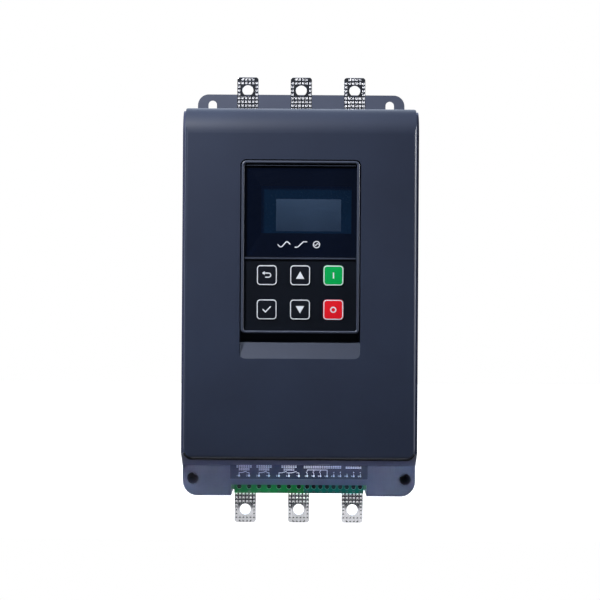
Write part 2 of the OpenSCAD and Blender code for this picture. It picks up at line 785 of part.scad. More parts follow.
// Slots over and under the fins
module fin_vents() {
    vent_w = 4;
    fin_pitch = (sink_w - 2 * rail_w) / (fin_count + 1);
    vent_l = fin_h - 2;
    vent_d = plate_t + fin_h / 2 + 2;
    top_extrude(-housing_bottom - 1, housing_top + 1) for (i = [0 : fin_count])
        translate([-sink_w / 2 + rail_w + (i + 0.5) * fin_pitch, vent_d])
            rotate(90) slot_shape(vent_l, vent_w);
}

// Windows that the cover's lugs snap into
module snap_windows(grow) {
    for (s = [-1, 1], z = [-snap_z, snap_z])
        block(s * (housing_w - wall) / 2, wall + 2 * eps, snap_rear_d - grow, snap_rear_d + snap_d + grow,
            z - snap_l / 2 - grow, z + snap_l / 2 + grow);
}

// Fine lines moulded above each terminal, from the notch to the label
module pole_lines() {
    line_w = 0.5;
    line_deep = 0.35;
    edges = concat(
        [for (i = [0 : relay_poles]) -terminals_w / 2 + i * relay_pitch],
        [for (i = [1 : signal_poles]) -terminals_w / 2 + relay_block_w + i * signal_pitch]);
    line_top = label_z - label_h / 2 - 0.6;
    for (x = edges) block(x, line_w, ledge_d - line_deep, ledge_d + 1, notch_top - eps, line_top);
}

module housing_base() color(moulding) difference() {
    union() {
        difference() {
            union() {
                ledge_body();
                side_extrude(housing_w) cheek_profile();
            }
            // room inside the shell, open to the wall
            front_extrude(-eps, top_front_d)
                round_rect(inner_w, -housing_bottom + wall, housing_top - wall, foot_round - wall);
            // front opening for the cover
            block(0, inner_w, top_front_d - eps, side_d + 1, -ledge_top, housing_top + 1);
            // the wall plate passes under the top wall
            block(0, inner_w, -eps, plate_t + fit, 0, housing_top + 1);
        }
        intersection() {
            union() {
                for (s = [-1, 1]) {
                    screw_boss(s, well_z, top_front_d + eps);
                    screw_boss(s, upper_post_z, well_floor_d + upper_boss_h - well_floor_t);
                }
            }
            block(0, housing_w - wall, 0, ledge_d, -housing_bottom, housing_top);
        }
    }
    for (s = [-1, 1], z = [well_z, upper_post_z]) {
        rod(s * well_x, z, well_floor_d, cover_d, well_d / 2);
        rod(s * well_x, z, plate_t + post_h - eps, well_floor_d + eps, m4[0] + fit);
    }
    // notch for the terminals and the load busbars
    block(0, notch_w, notch_back_d, ledge_d + 1, -housing_bottom - 1, notch_top);
    // slots for the line busbars
    for (x = phases) pad(x, housing_top, bar_w + 2 * bar_clear, 3 * wall, bar_back_d - 1, bar_front_d + 1);
    // shallow seat of the printed label
    pad(0, label_z, label_w + 2 * fit, label_h + 2 * fit, ledge_d - label_deep, ledge_d + 1);
    pole_lines();
    side_vents();
    fin_vents();
    snap_windows(snap_gap);
}

module housing_screws() color(steel) for (s = [-1, 1], z = [well_z, upper_post_z])
    screw(s * well_x, z, well_floor_d, housing_screw_l, m4);

module terminal_label() color([0.16, 0.18, 0.28])
    pad(0, label_z, label_w, label_h, ledge_d - label_deep, ledge_d - label_deep + label_t);

// Front cover

// Form of the cover, or of its hollow where an inset is given
module cover_form(inset, e) {
    half = cover_w / 2 - inset;
    top = housing_top - inset;
    low = -cover_bottom + inset;
    front_d = cover_d - inset;
    rear_d = cover_rear_d - inset;
    roll = cover_round - inset;
    corner = cover_corner - inset;
    intersection() {
        side_extrude(2 * half) corner_rect([rear_d, low], [front_d, top], [0, e, roll, 0]);
        front_extrude(rear_d, front_d) corner_rect([-half, low], [half, top], [corner, corner, e, e]);
        top_extrude(low, top) corner_rect([-half, rear_d], [half, front_d], [0, 0, e, e]);
    }
}

// Ramp that leads a finger under the keypad unit
module finger_ramp() {
    deep_d = bay_floor_d - eps;
    low_z = bay_bottom - eps;
    high_z = bay_bottom + ramp_h;
    side_extrude(bay_w + 2 * eps) polygon([
        [cover_d, bay_bottom], [cover_d - ramp_deep, high_z],
        [deep_d, high_z], [deep_d, low_z], [cover_d, low_z]
    ]);
}

// Outline of the keypad bay, grown outwards for the tray that forms it
module bay_outline(grow) {
    round_rect(bay_w + 2 * grow, bay_bottom - grow, bay_top + grow, bay_round + grow);
}

module front_cover() color(moulding) {
    difference() {
        union() {
            difference() {
                cover_form(0, cover_edge);
                cover_form(cover_wall, 0.5);
            }
            front_extrude(bay_floor_d - bay_wall, cover_d - cover_wall + eps) bay_outline(bay_wall);
        }
        difference() {
            front_extrude(bay_floor_d, cover_d + 1) bay_outline(0);
            finger_ramp();
        }
        pad(0, plug_z, plug_w + 2 * plug_room, plug_h + 2 * plug_room,
            bay_floor_d - bay_wall - 1, bay_floor_d + 1);
    }
    snap_lugs();
}

// Wedge lugs on the cover's side walls
module snap_lugs() for (s = [-1, 1], z = [-snap_z, snap_z]) {
    root_x = s * (cover_w / 2 - snap_root);
    tip_x = s * (cover_w / 2 + wall * snap_bite);
    top_extrude(z - snap_l / 2, z + snap_l / 2) polygon([
        [root_x, snap_rear_d], [tip_x, snap_rear_d + snap_d * 0.1],
        [tip_x, snap_rear_d + snap_d * 0.4], [root_x, snap_rear_d + snap_d]
    ]);
}

// Keypad unit

function key_x(column) = (column - 1) * key_pitch_x;
function key_z(row) = divider_z - key_drop - row * key_pitch_z;

// Outline of a key about its middle, grown for its opening or its flange
module key_outline(grow) {
    round_rect(key_w + 2 * grow, -key_w / 2 - grow, key_w / 2 + grow, key_round + grow);
}

// Outline of the keypad unit, or of a part of its face between two heights, shrunk by a rim
module panel_outline(rim, z0, z1) {
    round_rect(panel_w - 2 * rim, z0 + rim, z1 - rim, max(panel_round - rim, 0.8));
}

module keypad_frame() color(dark_plastic) difference() {
    union() {
        difference() {
            front_extrude(panel_back_d + panel_shell_t, rim_front_d)
                panel_outline(0, panel_bottom, panel_top);
            // hollow behind the face
            front_extrude(panel_back_d, face_d - panel_face_t)
                panel_outline(panel_wall, panel_bottom, panel_top);
            // seat of the film over the key face, below the dividing bar
            front_extrude(face_d - overlay_t, rim_front_d + 1)
                panel_outline(rim_w, panel_bottom, overlay_top);
            // seat of the display window, above the dividing bar
            front_extrude(face_d - window_t, rim_front_d + 1)
                panel_outline(rim_w, window_bottom - rim_w, panel_top);
        }
        for (s = [-1, 1], z = panel_boss_z)
            rod(s * panel_boss_x, z, panel_back_d + panel_shell_t, face_d - panel_face_t + eps,
                panel_boss_r);
    }
    for (s = [-1, 1], z = panel_boss_z)
        rod(s * panel_boss_x, z, panel_back_d, panel_back_d + panel_screw_l + 2 * panel_head_t,
            panel_screw_r + thread_fit);
    pad(lcd_x, lcd_z, lcd_w - lcd_lip, lcd_h - lcd_lip, face_d - panel_face_t - eps, face_d);
    for (column = [0 : 2], row = [0 : 1])
        front_extrude(face_d - panel_face_t - eps, face_d + eps) translate([key_x(column), key_z(row)])
            key_outline(key_gap);
}

module keypad_back() color(dark_plastic) difference() {
    union() {
        front_extrude(panel_back_d, panel_back_d + panel_shell_t)
            panel_outline(0, panel_bottom, panel_top);
        for (s = [-1, 1], z = [key_z(1), lcd_z + lcd_h / 2])
            pad(s * (panel_w / 2 - rest_inset), z, rest_w, rest_w,
                panel_back_d + panel_shell_t - eps, panel_board_d);
    }
    for (s = [-1, 1], z = panel_boss_z) {
        rod(s * panel_boss_x, z, panel_back_d - eps, panel_back_d + panel_shell_t + eps,
            panel_screw_r + fit);
        rod(s * panel_boss_x, z, panel_back_d - eps, panel_head_d + panel_head_t, panel_head_r + fit);
    }
}

module keypad_screws() color(steel) for (s = [-1, 1], z = panel_boss_z) {
    shank_d = panel_head_d + panel_head_t;
    rod(s * panel_boss_x, z, shank_d - eps, panel_head_d + panel_screw_l, panel_screw_r);
    difference() {
        rod(s * panel_boss_x, z, panel_head_d, shank_d, panel_head_r);
        for (a = [0, 90]) translate([s * panel_boss_x, -panel_head_d, z]) rotate([0, a, 0])
            cube([panel_head_r * 1.3, panel_head_t, panel_head_r * 0.3], center = true);
    }
}

module keypad_board() color(board_green) {
    side_gap = 1.2;
    boss_gap = panel_boss_r + 0.8;
    block(0, panel_w - 2 * panel_wall - 2 * side_gap, panel_board_d, panel_board_front_d,
        panel_boss_z[1] + boss_gap, panel_boss_z[0] - boss_gap);
}

module key_switches() color([0.1, 0.1, 0.11]) for (column = [0 : 2], row = [0 : 1]) {
    pad(key_x(column), key_z(row), switch_w, switch_w, panel_board_front_d, switch_d - plunger_l);
    rod(key_x(column), key_z(row), switch_d - plunger_l - eps, switch_d, plunger_r);
}

module lcd_module() color([0.18, 0.25, 0.35]) difference() {
    pad(lcd_x, lcd_z, lcd_w, lcd_h, panel_board_front_d, lcd_front_d);
    pad(view_x, view_z, view_w, view_h, lcd_front_d - view_deep, lcd_front_d + 1);
}

module display_window() color([0.03, 0.05, 0.12]) front_extrude(face_d - window_t, face_d - 0.2)
    panel_outline(rim_w + window_gap, window_bottom - rim_w, panel_top);

// Film over the key face, with an opening for every key
module key_overlay() color([0.05, 0.06, 0.08]) difference() {
    front_extrude(face_d - overlay_t, face_d)
        panel_outline(rim_w + window_gap, panel_bottom, overlay_top);
    for (column = [0 : 2], row = [0 : 1])
        front_extrude(face_d - overlay_t - eps, face_d + eps) translate([key_x(column), key_z(row)])
            key_outline(key_gap);
}

module keypad_plug() color(dark_plastic)
    pad(0, plug_z, plug_w, plug_h, panel_back_d - plug_l, panel_back_d);

// Key cap with a flange behind the face and a stem that meets its switch
module key(column, row, tint) color(tint) translate([key_x(column), 0, key_z(row)]) {
    back_d = key_flange_front_d - key_flange_t;
    front_extrude(key_flange_front_d - eps, face_d + key_out) key_outline(0);
    front_extrude(back_d, key_flange_front_d) key_outline(key_flange);
    rod(0, 0, back_d - key_stem_l, back_d + eps, key_stem_r);
}

key_black = [0.07, 0.08, 0.1];
module return_key() key(0, 0, key_black);
module set_key() key(0, 1, key_black);
module up_key() key(1, 0, key_black);
module down_key() key(1, 1, key_black);
module run_key() key(2, 0, [0.0, 0.6, 0.3]);
module stop_key() key(2, 1, [0.85, 0.1, 0.15]);

back_plate();
heatsink();
heatsink_screws();
housing_posts();
thyristor_module_1();
thyristor_module_2();
thyristor_module_3();
line_busbar_1();
line_busbar_2();
line_busbar_3();
load_busbar_1();
load_busbar_2();
load_busbar_3();
bypass_relay_1();
bypass_relay_2();
bypass_relay_3();
current_transformer_1();
current_transformer_2();
current_transformer_3();
module_screws();
terminal_screws();
relay_screws();
board_standoffs();
control_board();
board_screws();
control_transformer();
output_relays();
board_capacitors();
relay_terminal_block();
signal_terminal_block();
relay_terminal_screws();
signal_terminal_screws();
keypad_header();
keypad_cable();
keypad_socket();
housing_base();
housing_screws();
terminal_label();
front_cover();
keypad_frame();
keypad_back();
keypad_screws();
keypad_board();
key_switches();
lcd_module();
display_window();
key_overlay();
keypad_plug();
return_key();
set_key();
up_key();
down_key();
run_key();
stop_key();
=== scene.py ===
# %% [markdown]
# # A wall-mounted motor soft starter
# A soft starter brings a large motor up to speed on a gentle ramp. This one is a moulded box on
# a steel wall plate, with copper busbars at both ends, a pull-out keypad and two blocks of screw
# terminals. The CAD model is loaded as a fixed frame: its solids keep their places and sizes, and
# each step below gives them a finish or puts a finer piece where a plain solid was.

import bmesh
import bpy
import numpy as np
from mathutils import Matrix, Vector


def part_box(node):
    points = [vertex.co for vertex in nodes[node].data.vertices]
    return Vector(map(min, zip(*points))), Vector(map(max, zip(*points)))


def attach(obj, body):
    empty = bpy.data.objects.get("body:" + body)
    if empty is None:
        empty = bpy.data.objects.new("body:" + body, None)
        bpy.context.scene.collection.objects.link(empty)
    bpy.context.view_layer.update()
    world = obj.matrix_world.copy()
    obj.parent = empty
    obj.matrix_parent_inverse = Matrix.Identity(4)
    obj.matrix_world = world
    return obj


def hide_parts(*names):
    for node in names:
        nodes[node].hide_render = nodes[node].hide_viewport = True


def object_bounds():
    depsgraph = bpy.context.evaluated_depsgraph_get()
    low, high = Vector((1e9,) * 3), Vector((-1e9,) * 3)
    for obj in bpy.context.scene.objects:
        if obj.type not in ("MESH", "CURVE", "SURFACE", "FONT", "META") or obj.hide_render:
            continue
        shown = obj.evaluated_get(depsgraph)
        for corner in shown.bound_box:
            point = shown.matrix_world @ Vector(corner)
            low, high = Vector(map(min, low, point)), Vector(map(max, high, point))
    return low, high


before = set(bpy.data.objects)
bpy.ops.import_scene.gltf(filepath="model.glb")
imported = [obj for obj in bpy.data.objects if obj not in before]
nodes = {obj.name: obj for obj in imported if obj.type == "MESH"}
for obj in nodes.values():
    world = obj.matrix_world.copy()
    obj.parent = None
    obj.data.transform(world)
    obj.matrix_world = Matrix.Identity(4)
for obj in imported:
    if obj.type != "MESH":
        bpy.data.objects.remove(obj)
cad_box = [list(corner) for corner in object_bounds()]
MM = 0.001
scene = bpy.context.scene

# %% [markdown]
# ## The camera
# The picture is a plain front view from far away through a long lens, so the sides of the box
# hardly show. The lens follows from the focal length counted in pixels of the square picture, and
# the small roll is the tilt that the hand-held picture has.

# %% Place the camera
PICTURE_PX = 600
FOCAL_PX = 1890
CAMERA_AWAY = 1.565
CAMERA_ROLL = -0.364

lens = bpy.data.cameras.new("camera")
lens.sensor_width = 36
lens.lens = lens.sensor_width * FOCAL_PX / PICTURE_PX
lens.clip_end = 50
camera = bpy.data.objects.new("camera", lens)
camera.location = (0, -CAMERA_AWAY, 0)
camera.rotation_euler = (np.radians(90), np.radians(CAMERA_ROLL), 0)
scene.collection.objects.link(camera)
scene.camera = camera
print("camera with a", round(lens.lens, 1), "mm lens,", CAMERA_AWAY, "m away")

# %% [markdown]
# ## Studio light
# The main light is a small soft box near the upper left corner. Because it is near and steep, the
# front grows darker towards the lower right, the rolled top edge stays bright, and the finger ramp
# under the keypad has a crisp shadow on its left. A large, weak box overhead shows as gloss on the
# roll and in the pits of the upper busbars, and a narrow strip on the right draws the bright edges
# there. The last two boxes have a honeycomb grid, which keeps a beam narrow, so each serves one
# place: the ledge that the cover would leave in the dark, and the finger ramp, whose slope mirrors
# its box towards the camera while the flat front doesn't. The world is white to the camera. To
# everything else it is a dim room with a pale backdrop behind the starter.


# %% Soft boxes
def softbox(name, place, aim, width, height, watts, beam=180, tint=(1, 1, 1)):
    """Rectangular light at place that faces aim, level on the front, its beam held within an angle."""
    light = bpy.data.lights.new(name, "AREA")
    light.shape = "RECTANGLE"
    light.size, light.size_y, light.energy = width, height, watts
    light.spread, light.color = np.radians(beam), tint
    lamp = bpy.data.objects.new(name, light)
    lamp.location = place
    ahead = (Vector(aim) - Vector(place)).normalized()
    across = (Vector((1, 0, 0)) - ahead * ahead.x).normalized()
    lamp.rotation_euler = Matrix((across, across.cross(ahead), -ahead)).transposed().to_euler()
    lamp.visible_camera = False
    scene.collection.objects.link(lamp)


LIGHTS = {
    "key_light": dict(place=(-0.40, -0.52, 0.52), aim=(0, -0.15, 0), width=0.14, height=0.14,
                      watts=8.4),
    "gloss_light": dict(place=(-0.12, -0.30, 0.85), aim=(0, -0.15, 0.1), width=0.6, height=0.9,
                        watts=1.5, tint=(0.9, 0.97, 1.1)),
    "right_strip": dict(place=(1.1, -0.17, 0.35), aim=(0.05, -0.16, 0.15), width=0.1, height=0.6,
                        watts=20),
    "ledge_strip": dict(place=(-0.45, -0.68, -0.104), aim=(0, -0.12, -0.1417), width=0.2, height=0.036,
                        watts=0.05, beam=0.8),
    "ramp_light": dict(place=(-0.06, -0.97, 0.55), aim=(0, -0.163, -0.038), width=0.3, height=0.12,
                       watts=0.014, beam=9, tint=(0.85, 0.95, 1.15)),
}
for name, values in LIGHTS.items():
    softbox(name, **values)
print(len(LIGHTS), "soft boxes")

# %% The world
ROOM_TINT, ROOM_GLOW = (0.75, 0.85, 1, 1), 0.06
BACKDROP_START, BACKDROP_FULL, BACKDROP_GLOW = 0.4, 0.8, 2.2
world = bpy.data.worlds.new("studio")
scene.world = world
world.use_nodes = True
sky = world.node_tree.nodes
sky.clear()
wires = world.node_tree.links
seen_white = sky.new("ShaderNodeBackground")
seen_white.inputs["Color"].default_value = (1, 1, 1, 1)
dim_room = sky.new("ShaderNodeBackground")
dim_room.inputs["Color"].default_value = ROOM_TINT
way = sky.new("ShaderNodeTexCoord")
parts = sky.new("ShaderNodeSeparateXYZ")
backdrop = sky.new("ShaderNodeMapRange")
for title, value in (("From Min", BACKDROP_START), ("From Max", BACKDROP_FULL),
                     ("To Min", ROOM_GLOW), ("To Max", BACKDROP_GLOW)):
    backdrop.inputs[title].default_value = value
wires.new(way.outputs["Generated"], parts.inputs[0])
wires.new(parts.outputs["Y"], backdrop.inputs["Value"])
wires.new(backdrop.outputs["Result"], dim_room.inputs["Strength"])
ray = sky.new("ShaderNodeLightPath")
blend = sky.new("ShaderNodeMixShader")
sky_out = sky.new("ShaderNodeOutputWorld")
wires.new(ray.outputs["Is Camera Ray"], blend.inputs[0])
wires.new(dim_room.outputs[0], blend.inputs[1])
wires.new(seen_white.outputs[0], blend.inputs[2])
wires.new(blend.outputs[0], sky_out.inputs["Surface"])
scene.view_settings.view_transform = "Standard"
print("a dim room and a pale backdrop")

# %% [markdown]
# ## Shapes from whole arrays
# Every new piece is a surface worked out with numpy. A flat sheet with an outline becomes a solid
# by giving it a back and walls along its open edges; a moulded cap is a stack of outlines joined
# ring by ring. These few helpers do that for all of them.


# %% Helpers for meshes
def grid_quads(rows, columns, wrap=False):
    """Corners of the squares between rows x columns points; wrap joins the last column to the first."""
    r = np.arange(rows - 1)[:, None] * columns
    c = np.arange(columns if wrap else columns - 1)[None, :]
    n = (c + 1) % columns
    return np.stack([r + c, r + n, r + columns + n, r + columns + c], -1).reshape(-1, 4)


def make_piece(name, points, faces, finish, body, slot=None, sharp=40):
    """Arrays of points in mm and of faces as a mesh: faces outwards, smooth up to the sharp angle."""
    mesh = bpy.data.meshes.new(name)
    mesh.from_pydata((np.asarray(points) * MM).tolist(), [], [list(f) for f in faces])
    shell = bmesh.new()
    shell.from_mesh(mesh)
    bmesh.ops.recalc_face_normals(shell, faces=shell.faces)
    shell.to_mesh(mesh)
    shell.free()
    mesh.polygons.foreach_set("use_smooth", np.ones(len(mesh.polygons), bool))
    mesh.set_sharp_from_angle(angle=np.radians(sharp))
    mesh.materials.append(finish)
    piece = bpy.data.objects.new(name, mesh)
    scene.collection.objects.link(piece)
    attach(piece, body)
    print(name, len(mesh.vertices), "points")
    return piece


def round_outline(width, height, radius, steps=8):
    """Rectangle with round corners: a quarter circle about each corner's own centre, anticlockwise."""
    turn = np.radians(np.linspace(0, 90, steps)[None, :] - 90 + 90 * np.arange(4)[:, None])
    corner = np.array([[1, -1], [1, 1], [-1, 1], [-1, -1]])[:, None, :]
    centre = corner * (np.array([width, height]) / 2 - radius)
    return (centre + radius * np.stack([np.cos(turn), np.sin(turn)], -1)).reshape(-1, 2)


def thick_sheet(flat, quads, front, back):
    """Solid between two depths: the flat sheet, its copy behind, and a wall along every open edge."""
    flat, quads = np.asarray(flat, float), np.asarray(quads)
    count = len(flat)
    edges = np.concatenate([quads[:, [i, (i + 1) % quads.shape[1]]] for i in range(quads.shape[1])])
    key = np.sort(edges, 1) @ np.array([count, 1])
    _, first, times = np.unique(key, return_index=True, return_counts=True)
    rim = edges[first[times == 1]]
    walls = np.stack([rim[:, 0], rim[:, 1], rim[:, 1] + count, rim[:, 0] + count], 1)
    depth = [np.broadcast_to(d, count) for d in (front, back)]
    points = np.concatenate([np.stack([flat[:, 0], -d, flat[:, 1]], 1) for d in depth])
    return points, [*quads.tolist(), *(quads[:, ::-1] + count).tolist(), *walls.tolist()]


def stack(outlines, depths):
    """Closed form through a row of outlines, each at its own depth, with a face over both ends."""
    rings = np.stack([np.stack([o[:, 0], np.full(len(o), -d), o[:, 1]], 1)
                      for o, d in zip(outlines, depths)])
    rows, columns = rings.shape[:2]
    ends = [list(range(columns)), list(range((rows - 1) * columns, rows * columns))]
    return rings.reshape(-1, 3), grid_quads(rows, columns, wrap=True).tolist() + ends


# %% [markdown]
# ## Flat signs
# Printed marks are thin solids too, so that they show in the meshes and not only in a picture. A
# sign is put together from flat shapes: strokes along a path, dots, triangles and hoops.


# %% Helpers for flat shapes
def ribbon(path, width):
    """Stroke: each point of the path goes half a width to both sides, along the mitre of its edges."""
    path = np.asarray(path, float)
    edges = np.diff(path, axis=0)
    edges /= np.linalg.norm(edges, axis=1, keepdims=True)
    before, after = np.concatenate([edges[:1], edges]), np.concatenate([edges, edges[-1:]])
    mitre = (after + before) / (1 + (after * before).sum(1, keepdims=True))
    aside = np.stack([-mitre[:, 1], mitre[:, 0]], 1) * width / 2
    count = len(path)
    i = np.arange(count - 1)
    return (np.concatenate([path + aside, path - aside]),
            np.stack([i, i + 1, i + 1 + count, i + count], 1))


def dash(x, z, width, height):
    """Upright rectangle about its middle, as a short wide stroke."""
    return ribbon([(x - width / 2, z), (x + width / 2, z)], height)


def dot(x, z, radius, steps=16):
    """Disc of squares that each take the middle and three points of the circle."""
    turn = np.linspace(0, 2 * np.pi, steps, endpoint=False)
    circle = np.stack([np.cos(turn), np.sin(turn)], 1) * radius
    i = np.arange(0, steps, 2)
    return (np.concatenate([[[0, 0]], circle]) + (x, z),
            np.stack([0 * i, 1 + i, 2 + i, 1 + (i + 2) % steps], 1))


def triangle(corners):
    """Triangle as three squares, each from a corner over two side middles to the centre."""
    corners = np.asarray(corners, float)
    middles = (corners + np.roll(corners, -1, 0)) / 2
    i = np.arange(3)
    return (np.concatenate([corners, middles, corners.mean(0, keepdims=True)]),
            np.stack([i, i + 3, 0 * i + 6, (i + 2) % 3 + 3], 1))


def hoop(outer, inner):
    """Flat band between two outlines of as many points."""
    i = np.arange(len(outer))
    j = (i + 1) % len(outer)
    return np.concatenate([outer, inner]), np.stack([i, j, j + len(outer), i + len(outer)], 1)


def together(shapes, x=0, z=0):
    """Several flat shapes as one, moved by x and z: their corner numbers follow on each other."""
    starts = np.cumsum([0] + [len(flat) for flat, _ in shapes[:-1]])
    return (np.concatenate([flat for flat, _ in shapes]) + (x, z),
            np.concatenate([quads + start for (_, quads), start in zip(shapes, starts)]))


# %% [markdown]
# ## Shared effects for the finishes
# Moulded plastic is never one flat colour: the mould's spark-eroded skin leaves a fine grain, and
# the colour drifts a little over a large face. Both are made once, as a node group, and every
# plastic places it with its own scale. Metals share a second group of drawn lines and tarnish.


# %% Node groups
def new_group(name, inputs, outputs):
    """Empty shader group with named number sockets; gives back the group and its two end nodes."""
    group = bpy.data.node_groups.new(name, "ShaderNodeTree")
    for title, value in inputs.items():
        socket = group.interface.new_socket(title, in_out="INPUT", socket_type="NodeSocketFloat")
        socket.default_value = value
    for title in outputs:
        group.interface.new_socket(title, in_out="OUTPUT", socket_type="NodeSocketFloat")
    return group, group.nodes.new("NodeGroupInput"), group.nodes.new("NodeGroupOutput")


def moulded_grain():
    """Fine skin as noise of a small scale, and a slow drift of tone as noise of a large one."""
    scales = {"Grain Scale": 2200.0, "Drift Scale": 18.0}
    group, ins, outs = new_group("moulded_grain", scales, ["Skin", "Drift"])
    place = group.nodes.new("ShaderNodeTexCoord")
    for title, scale, detail in (("Skin", "Grain Scale", 2.0), ("Drift", "Drift Scale", 4.0)):
        noise = group.nodes.new("ShaderNodeTexNoise")
        noise.inputs["Detail"].default_value = detail
        group.links.new(place.outputs["Object"], noise.inputs["Vector"])
        group.links.new(ins.outputs[scale], noise.inputs["Scale"])
        group.links.new(noise.outputs["Fac"], outs.inputs[title])
    return group


def drawn_lines():
    """Fine lines along Z as noise squeezed in X and Y, and blotches of tarnish as slow noise."""
    group, ins, outs = new_group("drawn_lines", {"Line Scale": 900.0}, ["Lines", "Tarnish"])
    place = group.nodes.new("ShaderNodeTexCoord")
    squeeze = group.nodes.new("ShaderNodeMapping")
    squeeze.inputs["Scale"].default_value = (1, 1, 0.03)
    group.links.new(place.outputs["Object"], squeeze.inputs["Vector"])
    lines = group.nodes.new("ShaderNodeTexNoise")
    lines.inputs["Detail"].default_value = 3.0
    group.links.new(squeeze.outputs["Vector"], lines.inputs["Vector"])
    group.links.new(ins.outputs["Line Scale"], lines.inputs["Scale"])
    tarnish = group.nodes.new("ShaderNodeTexNoise")
    tarnish.inputs["Scale"].default_value = 60.0
    tarnish.inputs["Detail"].default_value = 5.0
    group.links.new(place.outputs["Object"], tarnish.inputs["Vector"])
    group.links.new(lines.outputs["Fac"], outs.inputs["Lines"])
    group.links.new(tarnish.outputs["Fac"], outs.inputs["Tarnish"])
    return group


GRAIN = moulded_grain()
LINES = drawn_lines()
print("node groups:", GRAIN.name, LINES.name)

# %% [markdown]
# ## Finishes
# Colours are given as they look on a screen, from 0 to 255, and turned into the linear values that
# the shader wants. A plastic mixes a darker and a lighter tone by the slow drift, and takes its
# roughness and its bump from the fine grain. A metal does so by its tarnish and its drawn lines.


# %% Plastic and metal makers
NOISE_LOW, NOISE_HIGH = 0.3, 0.7
SKIN_SWING, SKIN_STRENGTH = 0.04, 0.25
LINE_BRIGHTER, LINE_DULLER, LINE_STRENGTH = 0.05, 0.06, 0.15


def tone(r, g, b):
    """Linear colour from screen values: the sRGB curve undone."""
    c = np.array([r, g, b]) / 255
    return (*np.where(c <= 0.04045, c / 12.92, ((c + 0.055) / 1.055) ** 2.4), 1.0)


def new_finish(name, **sockets):
    """Material with a Principled shader; even values go straight onto its sockets."""
    finish = bpy.data.materials.new(name)
    finish.use_nodes = True
    shader = finish.node_tree.nodes["Principled BSDF"]
    for title, value in sockets.items():
        shader.inputs[title.replace("_", " ").title().replace("Ior", "IOR")].default_value = value
    return finish, shader, finish.node_tree


def noise_range(tree, source, low, high):
    """Value that runs from low to high over the middle of a noise."""
    node = tree.nodes.new("ShaderNodeMapRange")
    for title, value in (("From Min", NOISE_LOW), ("From Max", NOISE_HIGH),
                         ("To Min", low), ("To Max", high)):
        node.inputs[title].default_value = value
    tree.links.new(source, node.inputs["Value"])
    return node.outputs["Result"]


def two_tones(tree, source, dark, light):
    """Colour between a darker and a lighter tone, by a value from 0 to 1."""
    node = tree.nodes.new("ShaderNodeMix")
    node.data_type = "RGBA"
    node.inputs["A"].default_value, node.inputs["B"].default_value = dark, light
    tree.links.new(source, node.inputs["Factor"])
    return node.outputs["Result"]


def bump(tree, shader, height, distance, strength):
    """Relief of a value over the surface, as a height in metres."""
    node = tree.nodes.new("ShaderNodeBump")
    node.inputs["Distance"].default_value = distance
    node.inputs["Strength"].default_value = strength
    tree.links.new(height, node.inputs["Height"])
    tree.links.new(node.outputs["Normal"], shader.inputs["Normal"])


def plastic(name, dark, light, rough, grain=2200.0, relief=0.00004, **sockets):
    """Moulded plastic: two tones by drift, roughness about a middle value, grain as relief."""
    finish, shader, tree = new_finish(name, **sockets)
    skin = tree.nodes.new("ShaderNodeGroup")
    skin.node_tree = GRAIN
    skin.inputs["Grain Scale"].default_value = grain
    drift = noise_range(tree, skin.outputs["Drift"], 0, 1)
    mixed = two_tones(tree, drift, tone(*dark), tone(*light))
    tree.links.new(mixed, shader.inputs["Base Color"])
    rougher = noise_range(tree, skin.outputs["Skin"], rough - SKIN_SWING, rough + SKIN_SWING)
    tree.links.new(rougher, shader.inputs["Roughness"])
    bump(tree, shader, skin.outputs["Skin"], relief, SKIN_STRENGTH)
    return finish


def metal(name, dark, light, rough, lines=900.0, relief=0.00002):
    """Bare or plated metal: tarnish between two tones, drawn lines in roughness and relief."""
    finish, shader, tree = new_finish(name, metallic=1.0)
    drawn = tree.nodes.new("ShaderNodeGroup")
    drawn.node_tree = LINES
    drawn.inputs["Line Scale"].default_value = lines
    tarnish = noise_range(tree, drawn.outputs["Tarnish"], 0, 1)
    mixed = two_tones(tree, tarnish, tone(*dark), tone(*light))
    tree.links.new(mixed, shader.inputs["Base Color"])
    rougher = noise_range(tree, drawn.outputs["Lines"], rough - LINE_BRIGHTER, rough + LINE_DULLER)
    tree.links.new(rougher, shader.inputs["Roughness"])
    bump(tree, shader, drawn.outputs["Lines"], relief, LINE_STRENGTH)
    return finish


